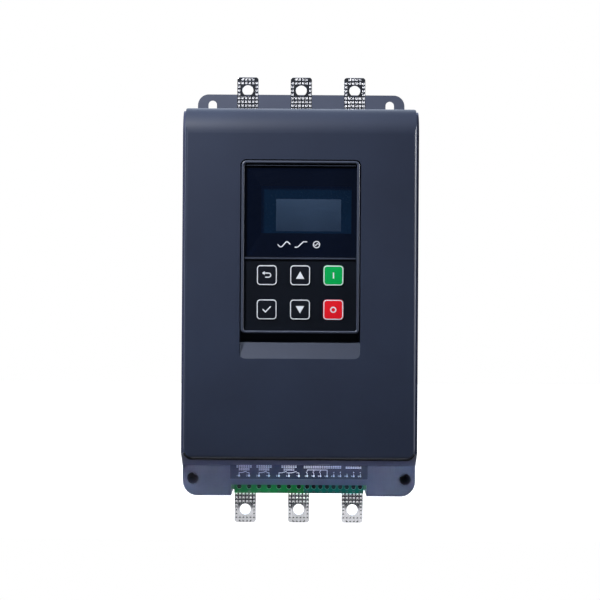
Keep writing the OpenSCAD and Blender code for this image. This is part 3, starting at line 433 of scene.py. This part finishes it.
# %% Finishes of this starter
PLASTICS = {
    "painted_plate": ((62, 68, 85), (70, 76, 94), 0.42, dict(grain=900.0, relief=0.00006)),
    "housing_plastic": ((52, 57, 80), (58, 63, 88), 0.48, dict(specular_ior_level=0.2)),
    "cover_plastic": ((33, 41, 61), (37, 46, 67), 0.46, {}),
    "keypad_plastic": ((54, 60, 76), (61, 68, 85), 0.36, dict(grain=2600.0, specular_ior_level=0.55)),
    "overlay_film": ((10, 14, 22), (14, 19, 29), 0.34, dict(grain=2600.0, specular_ior_level=0.3)),
    "module_case": ((26, 26, 28), (34, 34, 37), 0.5, {}),
    "relay_case": ((34, 34, 38), (42, 42, 47), 0.45, {}),
    "core_resin": ((20, 26, 62), (28, 34, 76), 0.35, dict(grain=600.0)),
    "circuit_board": ((10, 62, 34), (22, 92, 52), 0.35, dict(grain=500.0)),
    "winding_tape": ((176, 138, 38), (200, 160, 54), 0.45, dict(grain=400.0)),
    "relay_blue": ((18, 44, 116), (26, 56, 136), 0.4, {}),
    "capacitor_sleeve": ((16, 16, 20), (26, 26, 32), 0.3, {}),
    "terminal_green": ((11, 82, 38), (17, 94, 46), 0.5, dict(specular_ior_level=0.05)),
    "terminal_teal": ((0, 70, 62), (2, 80, 71), 0.5, dict(specular_ior_level=0.05)),
    "ribbon_grey": ((140, 140, 146), (160, 160, 166), 0.5, {}),
    "connector_black": ((18, 18, 21), (27, 27, 31), 0.45, {}),
    "switch_black": ((22, 22, 25), (30, 30, 34), 0.5, {}),
    "key_black": ((14, 17, 25), (19, 22, 32), 0.34, dict(grain=3000.0, specular_ior_level=0.3)),
    "key_green": ((0, 154, 70), (4, 168, 82), 0.34, dict(grain=3000.0, specular_ior_level=0.3)),
    "key_red": ((216, 18, 32), (228, 30, 44), 0.34, dict(grain=3000.0, specular_ior_level=0.3)),
    "label_film": ((26, 30, 52), (30, 35, 59), 0.34, dict(grain=1200.0, specular_ior_level=0.15)),
    "lcd_glass": ((20, 74, 112), (28, 86, 128), 0.25, dict(grain=800.0)),
    "lcd_film": ((132, 170, 216), (140, 178, 224), 0.3, dict(grain=4000.0)),
    "white_ink": ((216, 221, 230), (226, 230, 238), 0.5, dict(grain=4000.0)),
    "label_ink": ((232, 237, 250), (240, 244, 253), 0.5, dict(grain=4000.0)),
}
METALS = {
    "heatsink_alloy": ((176, 178, 182), (200, 202, 206), 0.4),
    "zinc_steel": ((150, 152, 158), (180, 182, 188), 0.34),
    # Near-black screw steel is painted shade: it darkens the screw holes as their shadow would.
    "hole_shade_steel": ((9, 9, 11), (15, 16, 18), 0.7),
}
FINISH = {name: plastic(name, *look, **more) for name, (*look, more) in PLASTICS.items()}
FINISH |= {name: metal(name, *look) for name, look in METALS.items()}
print(len(FINISH), "plain finishes")

# %% [markdown]
# ## Smoked window and stamped plating
# Two finishes need more. The window is dark acrylic that one can see through. The busbars' plating
# is bright, and duller inside the pits of their stamped ends, by a value that the busbars carry. The
# upper row's pits are the duller ones, so that they catch the main light.

# %% Two more finishes
WINDOW_COVER, WINDOW_IOR, WINDOW_ROUGH = 0.45, 1.49, (0.05, 0.09)
PIT_FROM, PIT_ROUGH, WORN_PIT_ROUGH = 0.05, 0.4, 0.2


def tinted_window():
    """Smoked acrylic: dark, glossy and partly clear, with a faint drift in its polish."""
    finish, shader, tree = new_finish("window_tint", alpha=WINDOW_COVER, ior=WINDOW_IOR)
    skin = tree.nodes.new("ShaderNodeGroup")
    skin.node_tree = GRAIN
    drift = noise_range(tree, skin.outputs["Drift"], 0, 1)
    mixed = two_tones(tree, drift, tone(9, 18, 38), tone(13, 23, 46))
    tree.links.new(mixed, shader.inputs["Base Color"])
    tree.links.new(noise_range(tree, skin.outputs["Drift"], *WINDOW_ROUGH), shader.inputs["Roughness"])
    return finish


def stamped_plating(name, pit_rough):
    """Bright plating, duller where the piece's stamped value is above 0, as in a struck pit."""
    finish = metal(name, (196, 197, 201), (222, 222, 226), 0.1, lines=1500.0, relief=0.000004)
    tree = finish.node_tree
    shader = tree.nodes["Principled BSDF"]
    struck = tree.nodes.new("ShaderNodeAttribute")
    struck.attribute_name = "stamped"
    inside = tree.nodes.new("ShaderNodeMath")
    inside.operation = "GREATER_THAN"
    inside.inputs[1].default_value = PIT_FROM
    tree.links.new(struck.outputs["Fac"], inside.inputs[0])
    rough = tree.nodes.new("ShaderNodeMix")
    rough.inputs["B"].default_value = pit_rough
    tree.links.new(inside.outputs[0], rough.inputs["Factor"])
    tree.links.new(shader.inputs["Roughness"].links[0].from_socket, rough.inputs["A"])
    tree.links.new(rough.outputs["Result"], shader.inputs["Roughness"])
    return finish


FINISH["window_tint"] = tinted_window()
FINISH["plated_copper"] = stamped_plating("plated_copper", PIT_ROUGH)
FINISH["worn_plating"] = stamped_plating("worn_plating", WORN_PIT_ROUGH)
print(len(FINISH), "finishes in all")

# %% [markdown]
# ## Dressing the CAD pieces
# The solids that are right as they are only need their finish, which goes into the object's own
# material slot. The cover has a darker, silkier plastic than the housing behind it, and the keypad's
# frame is as dark as the film on it. The screws deep in their holes get a near-black steel, which is
# painted shade: it darkens the holes as their shadow would.

# %% Finishes on the CAD nodes
# The three sets of screws take the near-black steel as painted shade in their holes.
OWN_FINISH = {"front_cover": "cover_plastic",
              "keypad_frame": "overlay_film", "keypad_back": "overlay_film",
              "relay_terminal_screws": "hole_shade_steel", "signal_terminal_screws": "hole_shade_steel",
              "housing_screws": "hole_shade_steel"}
for name, node in nodes.items():
    slot_name = node.material_slots[0].material.name.split(".")[0]
    node.material_slots[0].material = FINISH[OWN_FINISH.get(name, slot_name)]
print("dressed", len(nodes), "CAD nodes")

# %% [markdown]
# ## Knurled busbars
# The plated copper bars carry the motor's current. Their ends are stamped with a field of square
# pits that bite into a cable lug. The flat metal mirrors the studio straight ahead, and the four
# slopes of a pit mirror what lies above, below and beside it, so the pits stand out white where the
# metal is dark and dark where it is bright. A bump map would do in one view only, so the pits are
# real. The bar is one grid of points, with lines at the foot and the brim of every pit and a slope
# along its edges, and a ring of squares round each of its three holes.

# %% Sizes of a busbar
BAR_HALF, BAR_CORNER = 8.35, 2.2
BAR_FRONT, BAR_BACK = 75.5, 72.5
BAR_REACH, BAR_INNER = 175.3, 14.0
PHASES = (-42.1, 0.0, 42.1)
PIT_COLUMNS, PIT_ROWS, ROW_PITCH, PIT_DEEP = 6, 12, 2.943, 0.42
PIT_FLOOR, PIT_BRIM = 0.04, 0.33
EDGE_W, EDGE_DROP = 0.2, 0.12
LUG_AT, LUG_RADIUS, LUG_ROWS = 10.3, 4.3, (2, 5)
SCREW_HOLES = ((135.3, 2.05), (152.3, 3.3))
SCREW_BLOCK, BLOCK_LINES = 5.0, 9
END_LINES, SHANK_LINES = (0.08, EDGE_W), (60, 85, 110)


# %% One busbar as a grid
def pit_share(place):
    """Depth of a pit from 0 to 1, by the place in its cell: flat floor, then slopes up to the brim."""
    return np.clip((PIT_BRIM - np.abs(place % 1 - 0.5)) / (PIT_BRIM - PIT_FLOOR), 0, 1)


def ring_patch(flat, block, centre, radius, start):
    """Squares from a block's border to a circle, whose points lie on the lines to its middle."""
    loop = np.concatenate([block[0, :-1], block[:-1, -1], block[-1, :0:-1], block[:0:-1, 0]])
    away = flat[loop] - centre
    circle = centre + radius * away / np.linalg.norm(away, axis=1, keepdims=True)
    inner = start + np.arange(len(loop))
    return circle, np.stack([loop, np.roll(loop, -1), np.roll(inner, -1), inner], 1)


def folded(quads, height):
    """Two triangles for each square, folded along its deeper diagonal, as a pit's corners are."""
    deep = height[quads]
    turned = deep[:, 1] + deep[:, 3] > deep[:, 0] + deep[:, 2]
    quads = np.where(turned[:, None], np.roll(quads, -1, 1), quads)
    return np.concatenate([quads[:, [0, 1, 2]], quads[:, [0, 2, 3]]])


def busbar_sheet():
    """Bar across and along from its end: flat points, triangles, each point's pit and edge drop."""
    steps = np.array([0, 0.5 - PIT_BRIM, 0.5 - PIT_FLOOR, 0.5 + PIT_FLOOR, 0.5 + PIT_BRIM])
    across = np.append(np.add.outer(np.arange(PIT_COLUMNS), steps).ravel(), PIT_COLUMNS)
    rows = np.append(np.add.outer(np.arange(PIT_ROWS), steps).ravel(), PIT_ROWS) * ROW_PITCH
    screw_at = [at for at, _ in SCREW_HOLES]
    blocks = np.add.outer(screw_at, np.linspace(-SCREW_BLOCK, SCREW_BLOCK, BLOCK_LINES)).ravel()
    plain = np.concatenate([END_LINES, SHANK_LINES, blocks, [BAR_REACH - BAR_INNER]])
    along = np.sort(np.concatenate([rows, plain]))
    cell, v = np.meshgrid(across, along)
    short = np.clip(BAR_CORNER - v, 0, None)
    half = BAR_HALF - BAR_CORNER + np.sqrt(BAR_CORNER ** 2 - short ** 2)
    flat = np.stack([(cell * 2 / PIT_COLUMNS - 1) * half, v], -1).reshape(-1, 2)
    corner = (v < ROW_PITCH) & (np.abs(cell - PIT_COLUMNS / 2) > PIT_COLUMNS / 2 - 1)
    pit = np.minimum(pit_share(cell), pit_share(v / ROW_PITCH)) * (v < PIT_ROWS * ROW_PITCH) * ~corner
    inside = np.minimum(half * (1 - np.abs(cell * 2 / PIT_COLUMNS - 1)), v)
    drop = EDGE_DROP * np.clip(1 - inside / EDGE_W, 0, 1)
    number = np.arange(len(flat)).reshape(v.shape)
    quads = grid_quads(*v.shape)
    keep = np.ones((len(along) - 1, len(across) - 1), bool)
    middle = slice(len(steps), -len(steps))
    spans = [(LUG_ROWS[0] * ROW_PITCH, LUG_ROWS[1] * ROW_PITCH, LUG_AT, LUG_RADIUS)]
    spans += [(at - SCREW_BLOCK, at + SCREW_BLOCK, at, radius) for at, radius in SCREW_HOLES]
    rings = []
    for low, high, at, radius in spans:
        first, last = np.searchsorted(along, [low - 1e-6, high - 1e-6])
        keep[first:last, middle] = False
        block = number[first:last + 1, len(steps):len(across) - len(steps)]
        circle, ring = ring_patch(flat, block, (0, at), radius, len(flat))
        flat = np.concatenate([flat, circle])
        rings.append(ring)
    pit, drop = (np.append(value, np.zeros(len(flat) - value.size)) for value in (pit, drop))
    return flat, folded(np.concatenate([quads[keep.ravel()], *rings]), pit), pit, drop


# %% Six busbars
bar_flat, bar_quads, bar_pit, bar_drop = busbar_sheet()
bar_depth = PIT_DEEP * bar_pit + bar_drop
for row, up, plating in (("line", 1, "plated_copper"), ("load", -1, "worn_plating")):
    for number, x in enumerate(PHASES, 1):
        outline = np.stack([x + up * bar_flat[:, 0], up * (BAR_REACH - bar_flat[:, 1])], 1)
        points, faces = thick_sheet(outline, bar_quads, BAR_FRONT - bar_depth, BAR_BACK + bar_depth)
        bar = make_piece(f"{row}_bar_{number}", points, faces, FINISH[plating], "housing",
                         "plated_copper", sharp=25)
        stamped = bar.data.attributes.new("stamped", "FLOAT", "POINT")
        stamped.data.foreach_set("value", np.tile(bar_pit, 2))
        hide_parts(f"{row}_busbar_{number}")

# %% [markdown]
# ## Keys
# Each key is a moulded cap with a flange behind the keypad's face and a stem that meets its switch.
# The cap's edge is rounded and its top is slightly crowned, which a fingertip finds in the dark. It
# is a stack of outlines: stem, flange, wall, the quarter circle of the edge, and the crown.

# %% Key caps
KEY_W, KEY_CORNER, KEY_EDGE, CROWN = 15.0, 2.7, 0.25, 0.2
STEM_BACK, FLANGE_BACK, FLANGE_FRONT, KEY_TOP = 158.6, 159.2, 160.4, 163.8
FLANGE_W, FLANGE_CORNER, STEM_R = 17.0, 3.7, 2.0
KEYS = {"return_key": (-24.7, 18.3, "key_black"), "set_key": (-24.7, -7.1, "key_black"),
        "up_key": (0.0, 18.3, "key_black"), "down_key": (0.0, -7.1, "key_black"),
        "run_key": (24.7, 18.3, "key_green"), "stop_key": (24.7, -7.1, "key_red")}


def crown(x, z):
    """Depth of a key's top: highest in the middle, falling with the square of the way to the edge."""
    way = np.maximum(np.abs(x), np.abs(z)) / (KEY_W / 2)
    return KEY_TOP + CROWN * (1 - np.minimum(way, 1) ** 2)


def key_cap():
    """Rings of a key about its own middle, from the stem's end to the crown's middle."""
    turn = np.radians(np.linspace(0, 90, 5))
    inset = KEY_EDGE * (1 - np.cos(turn))
    share = np.array([0.86, 0.7, 0.5, 0.3, 0.12, 0.02])
    stem = round_outline(2 * STEM_R, 2 * STEM_R, STEM_R)
    flange = round_outline(FLANGE_W, FLANGE_W, FLANGE_CORNER)
    wall = round_outline(KEY_W, KEY_W, KEY_CORNER)
    edge = [round_outline(KEY_W - 2 * i, KEY_W - 2 * i, KEY_CORNER - i) for i in inset]
    outlines = [stem, stem, flange, flange, wall, *edge, *(edge[-1] * k for k in share)]
    rim = crown(KEY_W / 2 - KEY_EDGE, 0)
    depths = [STEM_BACK, FLANGE_BACK, FLANGE_BACK, FLANGE_FRONT, FLANGE_FRONT,
              *(rim - KEY_EDGE + KEY_EDGE * np.sin(turn)), *crown(share * (KEY_W / 2 - KEY_EDGE), 0)]
    return stack(outlines, depths)


cap_points, cap_faces = key_cap()
for name, (x, z, slot) in KEYS.items():
    cap = make_piece(f"{name}_cap", cap_points + (x, 0, z), cap_faces, FINISH[slot], name, slot)
    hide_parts(name)

# %% [markdown]
# ## Marks on the keys
# Every key has a white frame along its edge and one plain sign: a bent arrow to go back, a tick to
# confirm, two arrows to count up and down, a bar to run and a ring to stop. The marks follow the
# crown and stand a hair above it.

# %% Key marks
INK = 0.03
INK_ROOT = 0.15
FRAME_OUT, FRAME_IN = 0.2, 0.85
key_frame = hoop(*(round_outline(KEY_W - 2 * inset, KEY_W - 2 * inset, KEY_CORNER - inset)
                   for inset in (FRAME_OUT, FRAME_IN)))
bend = np.radians(np.linspace(90, -90, 9))
hook = np.stack([1.4 + 1.5 * np.cos(bend), 1.5 * np.sin(bend)], 1)
back_arrow = [ribbon([(-2.0, 1.5), *hook, (-1.2, -1.5)], 0.75),
              triangle([(-3.6, 1.5), (-1.6, 0.1), (-1.6, 2.9)])]
tick = [ribbon([(-2.9, 0.1), (-0.9, -1.9), (3.0, 2.2)], 0.85)]
up_arrow = [triangle([(-3.1, -2.6), (3.1, -2.6), (0, 2.8)])]
down_arrow = [triangle([(-3.1, 2.6), (0, -2.8), (3.1, 2.6)])]
run_bar = [dash(0, 0, 0.95, 4.4)]
stop_ring = [hoop(round_outline(4.6, 4.6, 2.3), round_outline(2.8, 2.8, 1.4))]
SIGNS = {"return_key": back_arrow, "set_key": tick, "up_key": up_arrow, "down_key": down_arrow,
         "run_key": run_bar, "stop_key": stop_ring}
for name, sign in SIGNS.items():
    x, z, _ = KEYS[name]
    flat, quads = together([key_frame, *sign])
    top = crown(flat[:, 0], flat[:, 1])
    points, faces = thick_sheet(flat + (x, z), quads, top + INK, top - INK_ROOT)
    make_piece(f"{name}_mark", points, faces, FINISH["white_ink"], name)

# %% [markdown]
# ## Painted shadow under the cover, and springs in the terminals
# A black band under the cover's lower edge is painted shadow. It stands where the cover's shadow falls
# on the ledge, and it makes the dark line between cover and ledge. It runs along the cover's outline,
# round both lower corners. The terminals have a black contact spring in the slit below each screw.
# Both are thin solids on the CAD's own faces.

# %% Painted shadow under the cover
SHADOW_BAND_OUT, SHADOW_BAND_IN, SHADOW_BAND_FRONT, SHADOW_BAND_BACK = 1.4, 0.3, 162.4, 150.0
SHADOW_BAND_STEPS, SHADOW_BAND_START, COVER_CORNER = 12, 215, 8.0
cover_low, cover_high = (np.array(corner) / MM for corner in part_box("front_cover"))


def lip_band():
    """Band of painted shadow along the cover's foot and corners, between two offsets of its outline,
    thin at its ends.
    """
    arc = np.linspace(SHADOW_BAND_START, 270, SHADOW_BAND_STEPS)
    turn = np.radians(np.concatenate([arc, 540 - arc[::-1]]))
    middle = np.repeat([cover_low[0] + COVER_CORNER, cover_high[0] - COVER_CORNER], SHADOW_BAND_STEPS)
    centre = np.stack([middle, np.full(len(turn), cover_low[2] + COVER_CORNER)], 1)
    way = np.stack([np.cos(turn), np.sin(turn)], 1)
    thin = np.sin(np.linspace(0, np.pi / 2, SHADOW_BAND_STEPS))
    reach = SHADOW_BAND_OUT * np.concatenate([thin, thin[::-1]])[:, None]
    rows = [centre + (COVER_CORNER + offset) * way for offset in (-SHADOW_BAND_IN, reach)]
    return np.concatenate(rows), grid_quads(2, len(turn))


# The black band is painted shadow, not a part: it is the cover's shadow line on the ledge, made as a
# solid.
make_piece("painted_shadow_band", *thick_sheet(*lip_band(), SHADOW_BAND_FRONT, SHADOW_BAND_BACK), FINISH["connector_black"],
           "housing", "connector_black")

# %% Springs in the terminals
RELAY_START, RELAY_PITCH, RELAY_POLES = -49.53, 7.62, 7
SIGNAL_START, SIGNAL_PITCH, SIGNAL_POLES = 3.81, 5.08, 9
SLIT_RISE, SLIT_DEEP = 1.3, 0.6
SPRING_W, SPRING_H, SPRING_FRONT, SPRING_ROOT = 2.1, 0.7, 0.35, 0.1
relay_x = RELAY_START + RELAY_PITCH * (np.arange(RELAY_POLES) + 0.5)
signal_x = SIGNAL_START + SIGNAL_PITCH * (np.arange(SIGNAL_POLES) + 0.5)
block_low = np.array(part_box("relay_terminal_block")[0]) / MM
slit_floor, slit_z = -block_low[1] - SLIT_DEEP, block_low[2] + SLIT_RISE
springs = together([dash(x, slit_z, SPRING_W, SPRING_H) for x in (*relay_x, *signal_x)])
make_piece("contact_springs",
           *thick_sheet(*springs, slit_floor + SPRING_FRONT, slit_floor - SPRING_ROOT),
           FINISH["connector_black"], "housing", "connector_black")

# %% [markdown]
# ## Rim of the keypad
# A raised rim runs round the keypad, and a bar parts the window from the keys. On the real one
# their edges are rounded and draw thin bright lines. The CAD rim is square and ends just below the
# cover's front, so a rounded skin covers it and stands half a millimetre proud of the cover, where
# the strip light on the right reaches it. A thin rib ends the window at its top.

# %% Rim, dividing bar and rib
RIM_FRONT, RIM_BACK, RIM_W, RIM_ROUND, SKIN = 165.5, 162.7, 2.0, 0.9, 0.02
PANEL_W, PANEL_H, PANEL_Z, PANEL_CORNER = 87.6, 128.0, 39.2, 3.5
DIVIDER_Z, DIVIDER_H, DIVIDER_FRONT, DIVIDER_ROUND, DIVIDER_SINK = 30.9, 1.9, 164.02, 0.7, 0.15
WINDOW_FRONT, WINDOW_TOP = 162.8, 101.05
RIB_INSET, RIB_RISE, RIB_ROOT, RIB_H, RIB_SIDE = 1.4, 1.5, 0.2, 0.35, 1.0


def soften(piece, radius, limit=50, segments=6):
    """Bevel that rounds the edges which turn more than the limit, so that they catch the light."""
    rounded = piece.modifiers.new("soft_edges", "BEVEL")
    rounded.width, rounded.segments = radius * MM, segments
    rounded.limit_method, rounded.angle_limit = "ANGLE", np.radians(limit)


inside_w, inside_h = PANEL_W - 2 * RIM_W, PANEL_H - 2 * RIM_W
rim = hoop(round_outline(PANEL_W + 2 * SKIN, PANEL_H + 2 * SKIN, PANEL_CORNER + SKIN),
           round_outline(inside_w - 2 * SKIN, inside_h - 2 * SKIN, PANEL_CORNER - RIM_W))
divider = dash(0, DIVIDER_Z - PANEL_Z, inside_w + 2 * DIVIDER_SINK, DIVIDER_H + 2 * SKIN)
for name, shape, front, radius in (("keypad_rim", rim, RIM_FRONT, RIM_ROUND),
                                   ("keypad_divider", divider, DIVIDER_FRONT, DIVIDER_ROUND)):
    flat, quads = together([shape], 0, PANEL_Z)
    piece = make_piece(name, *thick_sheet(flat, quads, front, RIM_BACK), FINISH["keypad_plastic"],
                       "keypad", "keypad_plastic")
    soften(piece, radius)
rib = dash(0, WINDOW_TOP - RIB_INSET, inside_w - 2 * RIB_SIDE, RIB_H)
make_piece("window_edge", *thick_sheet(*rib, WINDOW_FRONT + RIB_RISE, WINDOW_FRONT - RIB_ROOT),
           FINISH["keypad_plastic"], "keypad", "keypad_plastic")

# %% [markdown]
# ## Display
# Behind the smoked window sits the display: a blue glass plate with a pale picture area, which is a
# thin film laid into the plate. Below it the window carries three plain pictures of what the
# starter does: the mains wave, the ramp up to full voltage, and a motor.

# %% Display film
VIEW_X, VIEW_Z, VIEW_W, VIEW_H, VIEW_CORNER, VIEW_GAP = 6.0, 63.1, 48.6, 24.2, 0.4, 0.1
FILM_DEPTHS, FILM_INSETS = (159.11, 159.3, 159.36), (0, 0, 0.1)
film = [round_outline(VIEW_W - 2 * (VIEW_GAP + inset), VIEW_H - 2 * (VIEW_GAP + inset), VIEW_CORNER)
        for inset in FILM_INSETS]
points, faces = stack(film, FILM_DEPTHS)
make_piece("display_film", points + (VIEW_X, 0, VIEW_Z), faces, FINISH["lcd_film"], "keypad",
           "lcd_glass")

# %% Pictures on the window
PICTURE_X, PICTURE_Z, PICTURE_STROKE = 0.4, 41.2, 0.75
WAVE_X, MOTOR_X = -12.6, 11.6
sweep = np.linspace(-1, 1, 25)
wave = np.stack([sweep * 4.6, 1.9 * np.sin(np.pi * sweep)], 1)
small_wave = np.stack([sweep * 1.5, 0.7 * np.sin(np.pi * sweep)], 1)
motor = [hoop(round_outline(5.4, 5.4, 2.7), round_outline(4.0, 4.0, 2.0)), ribbon(small_wave, 0.6)]
pictures = [together([ribbon(wave, PICTURE_STROKE)], WAVE_X, 0),
            ribbon([(-4.6, -2.0), (-2.4, -2.0), (1.8, 2.0), (4.6, 2.0)], PICTURE_STROKE),
            together(motor, MOTOR_X, 0)]
flat, quads = together(pictures, PICTURE_X, PICTURE_Z)
make_piece("window_pictures", *thick_sheet(flat, quads, WINDOW_FRONT + INK, WINDOW_FRONT - INK_ROOT),
           FINISH["white_ink"], "keypad")

# %% [markdown]
# ## Print on the terminal label
# The label above the terminals shows how the contacts are wired: two make contacts and a changeover
# on the left, and switches with a common wire and some plain connections on the right. Each
# terminal has a dot and its number. Short bars stand in place of the words.

# %% Sizes of the label print
LABEL_FRONT, STROKE = 119.8, 0.35
DIGIT_STROKE, DIGIT_PITCH, RELAY_DIGIT, SIGNAL_DIGIT = 0.16, 0.75, 1.1, 0.9
RELAY_DOT, SIGNAL_DOT = 0.8, 0.7
LEFT_WIRE, RIGHT_WIRE, BLADE_LAP = 2.2, 1.9, 0.1
BLADE_ASIDE, BLADE_UP = 0.9, 1.5
SIGN_LONG, SIGN_THIN, WORD_FILL = 1.0, 0.3, 0.74
DOT_Z, WIRE_Z, BLADE_Z = -134.55, -132.2, -131.1
SWITCH_Z, SIGN_Z, COMMON_Z = -132.7, -131.6, -129.9
SEGMENTS = {"a": [(0, 2), (1, 2)], "b": [(1, 2), (1, 1)], "c": [(1, 1), (1, 0)], "d": [(0, 0), (1, 0)],
            "e": [(0, 1), (0, 0)], "f": [(0, 2), (0, 1)], "g": [(0, 1), (1, 1)]}
DIGITS = ("abcdef", "bc", "abged", "abgcd", "fgbc", "afgcd", "afgedc", "abc", "abcdefg", "abcdfg")


# %% Signs of the label
def number_strokes(value, x, height):
    """Number left of the dot at x: each digit is the strokes that a calculator lights."""
    text = str(value)
    starts = x - height - height * DIGIT_PITCH * np.arange(len(text), 0, -1)
    return [ribbon(np.array(SEGMENTS[part]) * height / 2 + (start, DOT_Z - height / 2), DIGIT_STROKE)
            for digit, start in zip(text, starts) for part in DIGITS[int(digit)]]


def make_contact(left, right):
    """Two wires that come up from their dots and turn to each other, and a slanted blade between."""
    out, back = left + LEFT_WIRE, right - RIGHT_WIRE
    return [ribbon([(left, DOT_Z), (left, WIRE_Z), (out, WIRE_Z)], STROKE),
            ribbon([(right, DOT_Z), (right, WIRE_Z), (back, WIRE_Z)], STROKE),
            ribbon([(out - BLADE_LAP, WIRE_Z), (back + BLADE_LAP, BLADE_Z)], STROKE)]


def switch_sign(x):
    """Wire up from its dot, a slanted blade, and a stub that hangs from the common wire."""
    return [ribbon([(x, DOT_Z), (x, SWITCH_Z)], STROKE),
            ribbon([(x, SWITCH_Z), (x - BLADE_ASIDE, SWITCH_Z + BLADE_UP)], STROKE),
            ribbon([(x, BLADE_Z), (x, COMMON_Z)], STROKE)]


def word_bars(x, z, width, height, count):
    """Row of pairs of short bars in place of a word."""
    pitch = width / count
    places = x + pitch * (np.arange(count) - (count - 1) / 2)
    return [dash(place, z + side * height / 3, pitch * WORD_FILL, height / 3)
            for place in places for side in (-1, 1)]


# %% Label print
relay_words = (relay_x[:2].mean(), relay_x[2:4].mean(), relay_x[5])
WORDS = [(x, *row) for x in relay_words for row in ((-127.5, 12.1, 1.5, 7), (-129.7, 8.4, 1.3, 6))]
WORDS += [(18.0, -127.7, 29.0, 1.7, 17), (41.7, -128.0, 12.2, 1.3, 9)]

print_shapes = [dot(x, DOT_Z, RELAY_DOT) for x in relay_x]
print_shapes += [dot(x, DOT_Z, SIGNAL_DOT) for x in signal_x]
for left, right in ((0, 1), (2, 3), (4, 5), (5, 6)):
    print_shapes += make_contact(relay_x[left], relay_x[right])
for x in signal_x[:3]:
    print_shapes += switch_sign(x)
common = [(signal_x[0], COMMON_Z), (signal_x[3], COMMON_Z), (signal_x[3], DOT_Z)]
print_shapes.append(ribbon(common, STROKE))
print_shapes += [ribbon([(x, DOT_Z), (x, SWITCH_Z)], STROKE) for x in signal_x[4:]]
print_shapes += [dash(x, SIGN_Z, SIGN_LONG, SIGN_THIN) for x in signal_x[[4, 5, 7, 8]]]
print_shapes += [dash(x, SIGN_Z, SIGN_THIN, SIGN_LONG) for x in signal_x[[5, 7]]]
for number, x in enumerate(relay_x, 1):
    print_shapes += number_strokes(number, x, RELAY_DIGIT)
for number, x in enumerate(signal_x, 1 + RELAY_POLES):
    print_shapes += number_strokes(number, x, SIGNAL_DIGIT)
for word in WORDS:
    print_shapes += word_bars(*word)
flat, quads = together(print_shapes)
make_piece("label_print", *thick_sheet(flat, quads, LABEL_FRONT + INK, LABEL_FRONT - INK_ROOT),
           FINISH["label_ink"], "housing")

# %% [markdown]
# ## The floor
# A pale sheet lies under the starter and ends a finger's width in front of it, as a table top would.
# The lower busbars mirror it, and the dark room beyond its edge.

# %% Floor
FLOOR_BELOW, FLOOR_HALF, FLOOR_FRONT, FLOOR_BACK, FLOOR_STEPS = 0.3, 1500, -178, 2400, 31
MIRRORED_GLOW = 0.85


def white_floor():
    """Matt sheet that glows to the camera and in mirrors, so that it runs into the white room."""
    finish = plastic("pale_floor", (122, 122, 124), (130, 130, 132), 0.6, grain=300.0)
    shader = finish.node_tree.nodes["Principled BSDF"]
    shader.inputs["Emission Color"].default_value = (1, 1, 1, 1)
    seen = finish.node_tree.nodes.new("ShaderNodeLightPath")
    mirrored = finish.node_tree.nodes.new("ShaderNodeMath")
    mirrored.operation = "MULTIPLY_ADD"
    mirrored.inputs[1].default_value = MIRRORED_GLOW
    finish.node_tree.links.new(seen.outputs["Is Glossy Ray"], mirrored.inputs[0])
    finish.node_tree.links.new(seen.outputs["Is Camera Ray"], mirrored.inputs[2])
    finish.node_tree.links.new(mirrored.outputs[0], shader.inputs["Emission Strength"])
    return finish


floor_x, floor_y = np.meshgrid(np.linspace(-FLOOR_HALF, FLOOR_HALF, FLOOR_STEPS),
                               np.linspace(FLOOR_FRONT, FLOOR_BACK, FLOOR_STEPS))
floor_z = np.full(floor_x.shape, cad_box[0][2] / MM - FLOOR_BELOW)
floor_mesh = bpy.data.meshes.new("floor")
floor_points = np.stack([floor_x, floor_y, floor_z], -1).reshape(-1, 3) * MM
floor_mesh.from_pydata(floor_points.tolist(), [], grid_quads(FLOOR_STEPS, FLOOR_STEPS).tolist())
floor_mesh.materials.append(white_floor())
floor = bpy.data.objects.new("floor", floor_mesh)
scene.collection.objects.link(floor)
print("floor at", round(floor_z[0, 0], 1), "mm")
